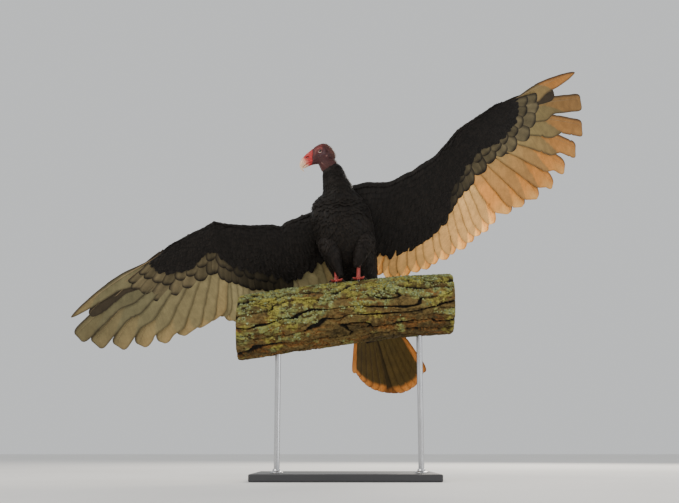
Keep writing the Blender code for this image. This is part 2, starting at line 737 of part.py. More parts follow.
def make_thigh(leg, mat, group, trunk_cutter, foot_cutter):
    """Feathered thigh and trouser, from the flank down over the hock."""
    knee, hock = np.array(leg.knee), np.array(leg.hock)
    down = hock + (hock - knee) * 0.42
    middle = (LEGS[0].foot_x + LEGS[1].foot_x) / 2
    hip = knee + np.array([(middle - knee[0]) * 0.55, 0.042, 0.044])
    spots = (hip, (hip + knee) / 2, knee, (knee + hock) / 2, hock, down)
    sizes = ((0.018, 0.022), (0.030, 0.032), (0.034, 0.036), (0.028, 0.030), (0.019, 0.021), (0.0105, 0.0125))
    rings = []
    for k, (spot, (wide, deep)) in enumerate(zip(spots, sizes)):
        axis = unit(spots[min(k + 1, len(spots) - 1)] - spots[max(k - 1, 0)])
        across = unit(np.array([1.0, 0.0, 0.0]) - axis * axis[0])
        rings.append(oval(spot, across * wide, np.cross(axis, across) * deep, 14))
    thigh = loft(f"leg_{leg.name}", rings, mat, group)
    boolean(thigh, trunk_cutter, "DIFFERENCE")
    boolean(thigh, foot_cutter, "DIFFERENCE")
    return thigh


def make_foot_cutter(leg, mat, group):
    """Socket that keeps the thigh clear of the bare tarsus."""
    _, radius = perch_at(leg.foot_x)
    pad = bark_point(leg.foot_x, PERCH_Y - leg.foot_y, leg.lift + 0.0030)
    hock = np.array(leg.hock)
    top = hock + (hock - pad) * 0.006
    wide = TARSUS_RADIUS * 1.15 + 2 * GAP
    return tube(f"cut_foot_{leg.name}", [top, (hock + pad) / 2, pad], (wide, wide, wide), mat, group, 10)


# ------------------------------------------------------------------------------------- assembly
def main():
    """Build every piece into the object's own collection."""
    clear_scene()
    bird = new_collection("turkey_vulture")
    cutters = new_collection("cutters", hidden=True)
    black = finish_material("body_feathers", (0.022, 0.017, 0.014), 0.75)
    grey = finish_material("flight_feathers", (0.20, 0.15, 0.11), 0.6)
    red = finish_material("bare_skin", (0.36, 0.05, 0.045), 0.55)
    ivory = finish_material("bill_horn", (0.78, 0.62, 0.46), 0.4)
    iris = finish_material("eye", (0.030, 0.016, 0.010), 0.08)
    leg_red = finish_material("leg_skin", (0.50, 0.10, 0.085), 0.6)
    bark = finish_material("bark", (0.16, 0.12, 0.075), 0.9)
    base_mat = finish_material("stand_base_finish", (0.045, 0.045, 0.048), 0.5)
    steel = finish_material("stand_rod_steel", (0.55, 0.55, 0.56), 0.35, 1.0)

    trunk_cutter = make_trunk(black, cutters, GAP * 1.5, "cut_trunk")
    neck_cutter = loft("cut_neck", body_rings(NECK, 18, GAP * 1.5), black, cutters)
    head_cutter = make_head(red, cutters, GAP * 1.5, "cut_head")
    perch_cutter = make_perch(bark, cutters, GAP * 1.5, "cut_perch")

    make_trunk(black, bird)
    make_neck(black, bird, head_cutter, trunk_cutter)
    head = make_head(red, bird)
    make_bill(ivory, bird)
    for side in (1, -1):
        make_eye(side, iris, bird)
        socket = make_eye(side, iris, cutters, EYE_RADIUS + GAP * 1.5, f"cut_eye_{side}")
        boolean(head, socket, "DIFFERENCE")
    for pose in (LEFT_WING, RIGHT_WING):
        make_wing(pose, black, grey, bird, (trunk_cutter, neck_cutter), cutters)
    make_tail(grey, bird)
    for leg in LEGS:
        make_foot(leg, leg_red, bird)
        make_thigh(leg, black, bird, trunk_cutter, make_foot_cutter(leg, leg_red, cutters))
    make_perch(bark, bird)
    make_stand(base_mat, steel, bird, perch_cutter)
    for cutter in cutters.objects:
        cutter.hide_render = True
        cutter.display_type = "WIRE"


main()
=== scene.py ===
"""Looks of the sunning turkey vulture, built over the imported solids.

Each part of the bird and of its stand is a class that holds its sizes, works out its surfaces
as numpy arrays and dresses them.  Lengths are metres, +Z is up and the bird faces -Y, so its
left side is +X.
"""

import logging
from collections.abc import Callable
from dataclasses import dataclass, field
from enum import Enum
from functools import cache

import bpy
import numpy as np
from numpy import (arange, array, clip, concatenate, cos, cross, interp, linspace, maximum, minimum, pi,
                   radians, sin, sqrt, stack, zeros)
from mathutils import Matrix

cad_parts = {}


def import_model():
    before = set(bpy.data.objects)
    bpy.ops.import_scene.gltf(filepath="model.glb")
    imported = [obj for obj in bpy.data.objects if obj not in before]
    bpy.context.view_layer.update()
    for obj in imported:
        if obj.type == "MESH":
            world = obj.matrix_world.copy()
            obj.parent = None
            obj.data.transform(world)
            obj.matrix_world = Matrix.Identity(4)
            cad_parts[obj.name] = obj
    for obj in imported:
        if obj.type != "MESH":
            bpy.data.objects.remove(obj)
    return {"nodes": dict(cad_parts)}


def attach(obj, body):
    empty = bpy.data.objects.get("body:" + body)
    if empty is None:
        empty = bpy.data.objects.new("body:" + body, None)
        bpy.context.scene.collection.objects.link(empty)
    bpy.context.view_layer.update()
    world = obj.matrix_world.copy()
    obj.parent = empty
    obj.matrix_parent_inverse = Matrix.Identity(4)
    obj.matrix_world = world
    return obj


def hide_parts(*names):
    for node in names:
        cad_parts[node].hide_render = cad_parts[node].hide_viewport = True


Array = np.ndarray
Colour = tuple[float, float, float]
Numbers = tuple[float, ...]
Socket = bpy.types.NodeSocket
Finished = bpy.types.Material
log = logging.getLogger("vulture")
chance = np.random.default_rng
BODY = "root"
UV_NAME = "OFBake"
PATCH = 0.003                     # width of a small feather's place on the map
ROLL = radians(15.0)              # the left side of the body is the higher one


# -------------------- number kit
def unit(v: Array) -> Array:
    """Return vectors scaled to length one."""
    return v / maximum(np.linalg.norm(v, axis=-1, keepdims=True), 1e-12)


def ease(x: Array, low: float, high: float) -> Array:
    """Smooth step: 0 below low, 1 above high, 3t^2 - 2t^3 between."""
    t = clip((np.asarray(x, float) - low) / (high - low), 0.0, 1.0)
    return t * t * (3.0 - 2.0 * t)


def bell(x: Array, at: float, width: float) -> Array:
    """Bell curve exp(-((x - at) / width)^2)."""
    return np.exp(-((x - at) / width) ** 2)


def angles(count: int) -> Array:
    """Even angles once round a circle."""
    return linspace(0, 2 * pi, count, endpoint=False)


def heading(degrees: Array) -> Array:
    """Flat unit vectors at angles in degrees."""
    return stack([cos(radians(degrees)), sin(radians(degrees))], -1)


def scatter(dice: np.random.Generator, count: int) -> Callable[[Array, Array], Array]:
    """Return a function of a middle and a spread that draws a value about it for each of count feathers."""
    return lambda middle, spread: middle + spread * dice.uniform(-1, 1, count)


def walked(path: Array) -> Array:
    """Distance along a path to each of its points."""
    return concatenate([[0.0], np.cumsum(np.linalg.norm(np.diff(path, axis=0), axis=1))])


def curve(x: Array, at: Array, values: Array) -> Array:
    """Read a smooth curve: cubic Hermite pieces, with slopes by central differences.

    Args:
        x: where to read it, any shape.
        at: rising stations.
        values: one number or one vector for each station.

    Returns:
        The curve at x, with a vector's axis last.
    """
    x, at, values = (np.asarray(n, float) for n in (x, at, values))
    slopes = np.gradient(values, at, axis=0)
    k = clip(np.searchsorted(at, x) - 1, 0, len(at) - 2)
    step = at[k + 1] - at[k]
    t = clip((x - at[k]) / step, 0.0, 1.0)
    if values.ndim > 1:
        t, step = t[..., None], step[..., None]
    return ((2 * t ** 3 - 3 * t ** 2 + 1) * values[k] + (t ** 3 - 2 * t ** 2 + t) * step * slopes[k]
            + (3 * t ** 2 - 2 * t ** 3) * values[k + 1] + (t ** 3 - t ** 2) * step * slopes[k + 1])


def lattice(cell: Array, seed: int) -> Array:
    """Random number from 0 to 1 for each whole-number cell, from a mixed sum of its products with primes."""
    c = cell.astype(np.int64)
    h = (c[..., 0] * 73856093) ^ (c[..., 1] * 19349663) ^ (c[..., 2] * 83492791) ^ (seed * 26544357)
    h = h & 0xFFFFFFFF
    h = ((h ^ (h >> 13)) * 1274126177) & 0xFFFFFFFF
    h = ((h ^ (h >> 15)) * 668265263) & 0xFFFFFFFF
    return (h ^ (h >> 16)) / 0xFFFFFFFF


def noise(points: Array, seed: int = 0) -> Array:
    """Value noise from -1 to 1: the eight corner values of each cell, blended by smooth steps."""
    low = np.floor(points)
    f = points - low
    f = f * f * (3.0 - 2.0 * f)
    total = zeros(points.shape[:-1])
    for i, j, k in np.ndindex(2, 2, 2):
        weight = abs(1 - i - f[..., 0]) * abs(1 - j - f[..., 1]) * abs(1 - k - f[..., 2])
        total += weight * lattice(low + (i, j, k), seed)
    return total * 2.0 - 1.0


def fractal(points: Array, octaves: int = 3, seed: int = 0) -> Array:
    """Sum of noise octaves, each twice as fine and half as strong, scaled back to about -1 to 1."""
    total = sum(noise(points * 2.0 ** k + 17.3 * k, seed + k) * 0.5 ** k for k in range(octaves))
    return total / sum(0.5 ** k for k in range(octaves))


def mix(a: Array, b: Array, share: Array) -> Array:
    """Blend colour a into colour b by a share from 0 to 1, with the colour's axis last."""
    share = np.asarray(share, float)[..., None]
    return np.asarray(a, float) * (1.0 - share) + np.asarray(b, float) * share


def layered(colour: Colour, *coats: tuple[Colour, Array]) -> Array:
    """Lay tints over a colour in their order, each by its share."""
    for tint, share in coats:
        colour = mix(colour, tint, share)
    return colour


def extend(vectors: Array, value: float = 1.0) -> Array:
    """Return vectors with one more component, such as an alpha of one."""
    return concatenate([vectors, np.full(vectors.shape[:-1] + (1,), value)], -1)


# -------------------- mesh kit
@dataclass
class Cloth:
    """Raw mesh of one piece: points, polygons by size, and what its corners or points carry."""

    verts: Array
    polygons: list[Array]
    corner_data: dict[str, Array] = field(default_factory=dict)     # name -> (loops, 2..4)
    point_data: dict[str, Array] = field(default_factory=dict)
    ring: int = 0                                                   # points of a feather's ring
    rims: tuple[int, ...] = ()                                      # places in the ring that are rims

    def build(self, name: str, finish: Finished) -> bpy.types.Object:
        """Make the object at the world origin, shaded smooth, with sharp rims on its feathers."""
        mesh = bpy.data.meshes.new(name)
        mesh.vertices.add(len(self.verts))
        mesh.vertices.foreach_set("co", np.ascontiguousarray(self.verts, np.float32).ravel())
        sizes = concatenate([np.full(len(p), p.shape[1], np.int32) for p in self.polygons])
        loops = concatenate([p.ravel() for p in self.polygons]).astype(np.int32)
        mesh.loops.add(len(loops))
        mesh.loops.foreach_set("vertex_index", loops)
        mesh.polygons.add(len(sizes))
        mesh.polygons.foreach_set("loop_start", concatenate([[0], np.cumsum(sizes)[:-1]]).astype(np.int32))
        mesh.update(calc_edges=True)
        for domain, store in (("CORNER", self.corner_data), ("POINT", self.point_data)):
            for key, data in store.items():
                flat, width = np.ascontiguousarray(data, np.float32).ravel(), data.shape[1]
                if width == 2:
                    mesh.uv_layers.new(name=key).uv.foreach_set("vector", flat)
                else:
                    kind = "FLOAT_VECTOR" if width == 3 else "FLOAT_COLOR"
                    layer = mesh.attributes.new(key, kind, domain)
                    layer.data.foreach_set("vector" if width == 3 else "color", flat)
        mesh.shade_smooth()
        if self.ring:
            ends = zeros(len(mesh.edges) * 2, np.int32)
            mesh.edges.foreach_get("vertices", ends)
            place = ends.reshape(-1, 2) % self.ring
            sharp = (place[:, 0] == place[:, 1]) & np.isin(place[:, 0], self.rims)
            mesh.attributes.new("sharp_edge", "BOOLEAN", "EDGE").data.foreach_set("value", sharp)
        mesh.materials.append(finish)
        thing = bpy.data.objects.new(name, mesh)
        bpy.context.scene.collection.objects.link(thing)
        return thing

    def show(self, name: str, finish: Finished, slot: str, *nodes: str) -> None:
        """Build a piece that rides on the body and stands for CAD nodes, which it hides."""
        thing = self.build(name, finish)
        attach(thing, BODY)
        if nodes:
            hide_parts(*nodes)
        log.info("%s: %d polygons", name, len(thing.data.polygons))


def volume(verts: Array, quads: Array) -> float:
    """Signed volume under quads: the sum of each triangle's triple product over six."""
    centre = verts.mean(axis=0)
    a, b, c, d = (verts[quads[:, k]] - centre for k in range(4))
    return float(np.sum(a * cross(b, c)) + np.sum(a * cross(c, d))) / 6.0


def grid_faces(rows: int, cols: int, wrap: bool = True) -> Array:
    """Quads of a grid of points, row by row, closed round the columns when wrap is set."""
    j, i = np.meshgrid(arange(rows - 1), arange(cols if wrap else cols - 1), indexing="ij")
    i, j, n = i.ravel(), j.ravel(), (arange(cols) + 1) % cols
    return stack([j * cols + i, j * cols + n[i], (j + 1) * cols + n[i], (j + 1) * cols + i], 1)


def flock(points: Array, rows: int, around: int, data: dict[str, tuple[Array, Array]]) -> Cloth:
    """Many closed tubes (n, rows x around, 3) as one raw mesh, with faces outward.

    Args:
        points: the tubes' points.
        rows: rings of a tube.
        around: points of a ring.
        data: name -> (n, quads, 4, width) for the quads' corners and (n, 2, around, width) for
            those of the end faces.

    Returns:
        The raw mesh.
    """
    count, ends = len(points), arange(around)
    quads, caps = grid_faces(rows, around), stack([ends[::-1], (rows - 1) * around + ends])
    shift = (arange(count) * rows * around)[:, None, None]
    total = sum(volume(points[k], quads) for k in range(0, count, max(1, count // 12)))
    way = -1 if total < 0 else 1
    faces = [(f[None] + shift).reshape(-1, f.shape[1])[:, ::way] for f in (quads, caps)]
    corner = {key: concatenate([d.reshape(-1, size, d.shape[-1])[:, ::way].reshape(-1, d.shape[-1])
                                for d, size in zip(pair, (4, around))]) for key, pair in data.items()}
    return Cloth(points.reshape(-1, 3), faces, corner)


def painted(cloth: Cloth, dye: Array) -> Cloth:
    """Return a raw mesh with a colour given to each of its points."""
    cloth.point_data = {"dye": extend(dye).reshape(-1, 4)}
    return cloth


def tube_cloth(rings: Array) -> Cloth:
    """Close rings (rows, around, 3) into one shell with flat ends."""
    return flock(rings.reshape(1, -1, 3), *rings.shape[:2], {})


def merge(cloths: list[Cloth]) -> Cloth:
    """Join raw meshes that carry the same data into one, with the polygons of a size together."""
    faces: dict[int, list[Array]] = {}
    corner: dict[tuple[int, str], list[Array]] = {}
    start, first = 0, cloths[0]
    for cloth in cloths:
        used = 0
        for polygon in cloth.polygons:
            size, end = polygon.shape[1], used + polygon.size
            faces.setdefault(size, []).append(polygon + start)
            for key, data in cloth.corner_data.items():
                corner.setdefault((size, key), []).append(data[used:end])
            used = end
        start += len(cloth.verts)
    corners = {key: concatenate([part for size in faces for part in corner[size, key]])
               for key in first.corner_data}
    points = {key: concatenate([c.point_data[key] for c in cloths]) for key in first.point_data}
    return Cloth(concatenate([c.verts for c in cloths]), [concatenate(f) for f in faces.values()],
                 corners, points, first.ring, first.rims)


def sweep(path: Array, radii: Array, around: int = 16, rows: int = 40, flat: float = 1.0,
          hint: Colour = (1.0, 0.15, 0.1)) -> Array:
    """Rings of a round tube along a smooth path: centre + r cos(w) across + flat r sin(w) up.

    Args:
        path: points (n, 3) the path runs through.
        radii: radius at each point.
        around: points of a ring.
        rows: rings.
        flat: height of a ring as a share of its width.
        hint: direction the rings' across axis keeps close to.

    Returns:
        Points of shape (rows, around, 3).
    """
    at, hint = walked(path), np.asarray(hint)
    x = linspace(0.0, at[-1], rows)
    centre, r = curve(x, at, path), curve(x, at, radii)[:, None, None]
    tangent = unit(np.gradient(centre, axis=0))
    across = unit(hint - tangent * (tangent @ hint)[:, None])
    up = cross(tangent, across)
    w = angles(around)[None, :, None]
    return centre[:, None] + r * (cos(w) * across[:, None] + flat * sin(w) * up[:, None])


def fused(cloth: Cloth, name: str, voxel: float, cutters: tuple[Cloth, ...] = (),
          softening: int = 4) -> tuple[Array, Array]:
    """Fuse overlapping closed shells into one even skin.

    Args:
        cloth: the shells in one raw mesh.
        name: name for the passing object.
        voxel: edge of the remesh cells.
        cutters: shells cut away first.
        softening: rounds of smoothing, which melt the creases where shells meet.

    Returns:
        Points and quads of the new skin.
    """
    blank = bpy.data.materials.new(name + "_blank")
    body = cloth.build(name, blank)
    tools = [cutter.build(f"{name}_cut_{k}", blank) for k, cutter in enumerate(cutters)]
    for tool in tools:
        cut = body.modifiers.new("cut", "BOOLEAN")
        cut.operation, cut.solver, cut.use_self, cut.object = "DIFFERENCE", "EXACT", True, tool
    grain = body.modifiers.new("fuse", "REMESH")
    grain.mode, grain.voxel_size = "VOXEL", voxel
    soft = body.modifiers.new("soft", "SMOOTH")
    soft.factor, soft.iterations = 0.5, softening
    mesh = bpy.data.meshes.new_from_object(body.evaluated_get(bpy.context.evaluated_depsgraph_get()))
    points, corners = zeros(len(mesh.vertices) * 3, np.float32), zeros(len(mesh.loops), np.int32)
    mesh.vertices.foreach_get("co", points)
    mesh.loops.foreach_get("vertex_index", corners)
    for old in [body] + tools:
        data = old.data
        bpy.data.objects.remove(old, do_unlink=True)
        bpy.data.meshes.remove(data)
    bpy.data.meshes.remove(mesh)
    bpy.data.materials.remove(blank)
    return points.reshape(-1, 3).astype(float), corners.reshape(-1, 4)


def point_normals(verts: Array, quads: Array) -> Array:
    """Outward direction at each point: the sum of its quads' diagonal cross products."""
    face = cross(verts[quads[:, 2]] - verts[quads[:, 0]], verts[quads[:, 3]] - verts[quads[:, 1]])
    total = np.zeros_like(verts)
    for k in range(4):
        np.add.at(total, quads[:, k], face)
    return unit(total)


# -------------------- shader groups
class Nodes:
    """Short hand for wiring one node tree."""

    def __init__(self, tree: bpy.types.NodeTree) -> None:
        """Keep the tree that the nodes go into."""
        self.tree = tree

    def add(self, kind: str, inputs: dict[str | int, object] | None = None,
            **settings: object) -> bpy.types.Node:
        """Add a node.

        Args:
            kind: node type, without its ShaderNode prefix unless it is a group node.
            inputs: socket name or number -> value, or the output socket to link.
            **settings: properties of the node.

        Returns:
            The new node.
        """
        node = self.tree.nodes.new(kind if kind.startswith("Node") else "ShaderNode" + kind)
        for key, value in settings.items():
            setattr(node, key, value)
        for key, value in (inputs or {}).items():
            self.feed(node.inputs[key], value)
        return node

    def feed(self, socket: Socket, value: object) -> None:
        """Link a socket to another, or set it."""
        if isinstance(value, Socket):
            self.tree.links.new(value, socket)
        else:
            socket.default_value = value

    def maths(self, operation: str, a: object, b: object = 0.0) -> Socket:
        """Return a Math node's result."""
        return self.add("Math", {0: a, 1: b}, operation=operation).outputs[0]

    def weigh(self, a: Socket, share_a: float, b: Socket, share_b: float) -> Socket:
        """Return a weighted sum."""
        return self.maths("ADD", self.maths("MULTIPLY", a, share_a), self.maths("MULTIPLY", b, share_b))

    def ramp(self, value: Socket, out_low: float, out_high: float, low: float = 0.3,
             high: float = 0.7) -> Socket:
        """Return value carried smoothly from the range low..high to another."""
        return self.add("MapRange", {"Value": value, "From Min": low, "From Max": high, "To Min": out_low,
                                     "To Max": out_high}, interpolation_type="SMOOTHSTEP").outputs["Result"]

    def shaded(self, colour: object, grey: Socket) -> Socket:
        """Return a colour times a grey."""
        sockets = {0: 1.0, 6: colour, 7: self.add("CombineColor", dict.fromkeys(range(3), grey)).outputs[0]}
        return self.add("Mix", sockets, data_type="RGBA", blend_type="MULTIPLY").outputs[2]

    def dyed(self, grey: Socket) -> Socket:
        """Return the dye painted on the mesh, times a grey."""
        return self.shaded(self.attribute("dye", "Color"), grey)

    def place(self) -> Socket:
        """Return the object's own coordinates."""
        return self.add("TexCoord").outputs["Object"]

    def noise(self, vector: Socket, scale: object, detail: float, **more: float) -> Socket:
        """Return a noise texture's value."""
        return self.add("TexNoise", {"Vector": vector, "Scale": scale, "Detail": detail, **more}).outputs[0]

    def cells(self, scale: float) -> Socket:
        """Return the distance to the nearest of scattered points."""
        return self.add("TexVoronoi", {"Vector": self.place(), "Scale": scale}).outputs["Distance"]

    def attribute(self, name: str, output: str) -> Socket:
        """Return an attribute of the mesh."""
        return self.add("Attribute", attribute_name=name).outputs[output]

    def effect(self, tree: bpy.types.NodeTree, **values: float) -> tuple[Socket, Socket]:
        """Place a shared effect with its own values and return its two outputs."""
        node = self.add("Group", {k.replace("_", " "): v for k, v in values.items()}, node_tree=tree)
        return node.outputs[0], node.outputs[1]

    def bump(self, height: Socket, strength: float, distance: float) -> Socket:
        """Return a bumped normal."""
        return self.add("Bump", {"Height": height, "Strength": strength, "Distance": distance}).outputs[0]


def group(name: str, inputs: dict[str, float], outputs: tuple[str, str]) -> tuple:
    """Start a node group of named float sockets.

    Args:
        name: name of the effect.
        inputs: what comes in, with the values it has where nothing is said.
        outputs: what goes out.

    Returns:
        The group's Nodes, the sockets that bring its inputs and those that take its outputs.
    """
    tree = bpy.data.node_groups.new(name, "ShaderNodeTree")
    for key, value in inputs.items():
        tree.interface.new_socket(key, in_out="INPUT", socket_type="NodeSocketFloat").default_value = value
    for key in outputs:
        tree.interface.new_socket(key, in_out="OUTPUT", socket_type="NodeSocketFloat")
    hand = Nodes(tree)
    return hand, hand.add("NodeGroupInput").outputs, hand.add("NodeGroupOutput").inputs


@cache
def grain_group() -> bpy.types.NodeTree:
    """Two sizes of noise on object places: Value runs about 0 to 1, Fine is the small one alone."""
    hand, start, end = group("surface_grain", {"Scale": 60.0, "Fine Scale": 400.0}, ("Value", "Fine"))
    place = hand.place()
    small = hand.noise(place, start[1], 3.0)
    hand.feed(end[0], hand.weigh(hand.noise(place, start[0], 4.0), 0.6, small, 0.4))
    hand.feed(end[1], small)
    return hand.tree


@cache
def barbs_group() -> bpy.types.NodeTree:
    """Barbs of a vane, from the corner attribute 'vane' (metres along, metres across, side).

    Lines of equal along - 0.9 |across| run out from the shaft toward the tip.  Shade is a
    brightness factor about 1 and Height feeds a bump.
    """
    hand, start, end = group("feather_barbs", {"Contrast": 0.25, "Pitch": 900.0}, ("Shade", "Height"))
    vane = hand.add("SeparateXYZ", {0: hand.attribute("vane", "Vector")}).outputs
    run = hand.maths("SUBTRACT", vane[0], hand.maths("MULTIPLY", hand.maths("ABSOLUTE", vane[1]), 0.9))
    spots = [hand.add("CombineXYZ", {0: hand.maths("MULTIPLY", run, along), 2: vane[2],
                                     1: hand.maths("MULTIPLY", vane[1], across)}).outputs[0]
             for along, across in ((start[1], 28.0), (130.0, 18.0))]
    fine = hand.noise(spots[0], 1.0, 2.0, Roughness=0.6)
    both = hand.weigh(fine, 0.55, hand.noise(spots[1], 1.0, 2.0), 0.45)
    off = hand.maths("MULTIPLY", hand.maths("SUBTRACT", both, 0.5), start[0])
    hand.feed(end[0], hand.maths("ADD", 1.0, hand.maths("MULTIPLY", off, 2.6)))
    hand.feed(end[1], both)
    return hand.tree


@dataclass(frozen=True)
class Finish:
    """What all finishes share."""

    name: str

    def make(self) -> Finished:
        """Make a Principled material and feed its sockets."""
        material = bpy.data.materials.new(self.name)
        material.use_nodes = True
        hand = Nodes(material.node_tree)
        for key, value in self.sockets(hand).items():
            hand.feed(material.node_tree.nodes["Principled BSDF"].inputs[key], value)
        return material

    def sockets(self, hand: Nodes) -> dict[str, object]:
        """Return the value or the wired source of each of the shader's sockets that is used."""
        raise NotImplementedError


@dataclass(frozen=True)
class PlumageFinish(Finish):
    """Feathers: the dye painted on each vane, broken up by its barbs."""

    contrast: float = 0.25
    roughness: float = 0.6
    sheen: float = 0.03
    bump: float = 0.3

    def sockets(self, hand: Nodes) -> dict[str, object]:
        """Dye times barbs times a slow cloud; rougher and raised along the barbs."""
        shade, height = hand.effect(barbs_group(), Contrast=self.contrast)
        cloud = hand.ramp(hand.effect(grain_group(), Scale=45.0)[0], 0.82, 1.15)
        return {"Base Color": hand.shaded(hand.dyed(shade), cloud),
                "Roughness": hand.ramp(height, self.roughness - 0.1, self.roughness + 0.1),
                "Normal": hand.bump(height, self.bump, 0.0004),
                "Sheen Weight": self.sheen, "Sheen Roughness": 0.4, "Specular IOR Level": 0.16}


@dataclass(frozen=True)
class SkinFinish(Finish):
    """Bare wrinkled skin: painted dye, pebbled by cells and noise."""

    roughness: float = 0.5
    cell: float = 900.0
    bump: float = 0.5

    def sockets(self, hand: Nodes) -> dict[str, object]:
        """Dye times a cloud times pits; each cell is a pebble."""
        value, fine = hand.effect(grain_group(), Scale=220.0, Fine_Scale=1300.0)
        cells = hand.cells(self.cell)
        skin = hand.dyed(hand.ramp(value, 0.72, 1.22))
        height = hand.maths("SUBTRACT", value, hand.maths("MULTIPLY", cells, 0.8))
        return {"Base Color": hand.shaded(skin, hand.ramp(cells, 1.12, 0.72, 0.25, 0.75)),
                "Roughness": hand.ramp(fine, self.roughness - 0.12, self.roughness + 0.12),
                "Normal": hand.bump(height, self.bump, 0.0005), "Specular IOR Level": 0.4,
                "Subsurface Weight": 0.06, "Subsurface Scale": 0.002, "Subsurface Radius": (1.0, 0.35, 0.2)}


@dataclass(frozen=True)
class HornFinish(Finish):
    """Horn of the bill or claws: a painted dye with fine growth lines and a soft gloss."""

    roughness: float = 0.32
    coat: float = 0.25
    lines: float = 700.0

    def sockets(self, hand: Nodes) -> dict[str, object]:
        """Dye times a cloud; the growth lines vary the gloss."""
        value, fine = hand.effect(grain_group(), Scale=160.0, Fine_Scale=self.lines)
        return {"Base Color": hand.dyed(hand.ramp(value, 0.84, 1.12)),
                "Roughness": hand.ramp(fine, self.roughness - 0.08, self.roughness + 0.14),
                "Normal": hand.bump(value, 0.25, 0.0003), "Coat Weight": self.coat, "Coat Roughness": 0.2,
                "Subsurface Weight": 0.08, "Subsurface Scale": 0.002}


@dataclass(frozen=True)
class EyeFinish(Finish):
    """Wet eyeball: dark brown iris round a black pupil, under a clear coat."""

    def sockets(self, hand: Nodes) -> dict[str, object]:
        """Dye times the fibres of the iris."""
        dye, fibre = hand.attribute("dye", "Color"), hand.noise(hand.place(), 1500.0, 2.0)
        return {"Base Color": hand.shaded(dye, hand.ramp(fibre, 0.75, 1.25)), "Roughness": 0.12,
                "Coat Weight": 0.35, "Coat Roughness": 0.02, "Specular IOR Level": 0.25}


@dataclass(frozen=True)
class BarkFinish(Finish):
    """Furrowed bark: painted dye, roughened by two sizes of grain and by crusty cells."""

    bump: float = 0.8

    def sockets(self, hand: Nodes) -> dict[str, object]:
        """Dye times a strong cloud; the cells are crumbs."""
        value, fine = hand.effect(grain_group(), Scale=130.0, Fine_Scale=620.0)
        height = hand.maths("SUBTRACT", value, hand.maths("MULTIPLY", hand.cells(420.0), 0.5))
        cloud = hand.ramp(value, 0.55, 1.4, 0.28, 0.72)
        return {"Base Color": hand.dyed(cloud),
                "Roughness": hand.ramp(fine, 0.82, 1.0), "Normal": hand.bump(height, self.bump, 0.0016),
                "Specular IOR Level": 0.2}


@dataclass(frozen=True)
class MetalFinish(Finish):
    """Brushed steel or satin powder coat of the stand."""

    colour: Colour
    metallic: float
    roughness: float
    brush: float = 0.0            # stretch of the grain along Z

    def sockets(self, hand: Nodes) -> dict[str, object]:
        """One colour, clouded and scratched by a stretched noise."""
        place = hand.place()
        squash = hand.add("Mapping", {"Vector": place, "Scale": (1.0, 1.0, 1.0 - self.brush)}).outputs[0]
        line = hand.noise(squash, 900.0, 3.0)
        cloud = hand.ramp(hand.weigh(line, 0.5, hand.noise(place, 9.0, 3.0), 0.5), 0.86, 1.12)
        return {"Base Color": hand.shaded((*self.colour, 1.0), cloud), "Metallic": self.metallic,
                "Roughness": hand.ramp(line, self.roughness - 0.07, self.roughness + 0.09),
                "Normal": hand.bump(line, 0.12, 0.0002)}


@dataclass(frozen=True)
class PaperFinish(Finish):
    """Matt pale paper of the floor."""

    colour: Colour

    def sockets(self, hand: Nodes) -> dict[str, object]:
        """One colour under a faint cloud."""
        cloud = hand.ramp(hand.noise(hand.place(), 1.2, 3.0), 0.97, 1.03)
        return {"Base Color": hand.shaded((*self.colour, 1.0), cloud), "Roughness": 0.85,
                "Specular IOR Level": 0.2}


# -------------------- charts
class Chart:
    """A surface read by two numbers: u runs along the lie of the feathers and v across it."""

    outward = 1.0                 # sign that turns dP/du x dP/dv outward
    span = (0.0, 1.0, 0.0, 1.0)   # u and v ranges, for the map

    def surface(self, u: Array, v: Array) -> Array:
        """Return the surface's points."""
        return self.place(u, v, zeros(np.shape(u)))

    def tangents(self, u: Array, v: Array) -> tuple[Array, Array]:
        """Return dP/du and dP/dv by central differences."""
        h = 1e-4
        return ((self.surface(u + h, v) - self.surface(u - h, v)) / (2 * h),
                (self.surface(u, v + h) - self.surface(u, v - h)) / (2 * h))

    def place(self, u: Array, v: Array, lift: Array) -> Array:
        """Return points raised by lift off the surface."""
        du, dv = self.tangents(u, v)
        return self.surface(u, v) + unit(cross(du, dv)) * self.outward * np.asarray(lift)[..., None]

    def unwrap(self, u: Array, v: Array) -> Array:
        """Return the place on the map: u and v as shares of their ranges, with a margin."""
        low_u, high_u, low_v, high_v = self.span
        both = stack([(u - low_u) / (high_u - low_u), (v - low_v) / (high_v - low_v)], -1)
        return 0.02 + 0.96 * clip(both, 0.0, 1.0)


def squared(w: Array, power: float) -> tuple[Array, Array]:
    """Cosine and sine of an angle, each to the 2/power with its sign: 2 is round, more is squarer."""
    return tuple(np.sign(x) * abs(x) ** (2 / power) for x in (cos(w), sin(w)))


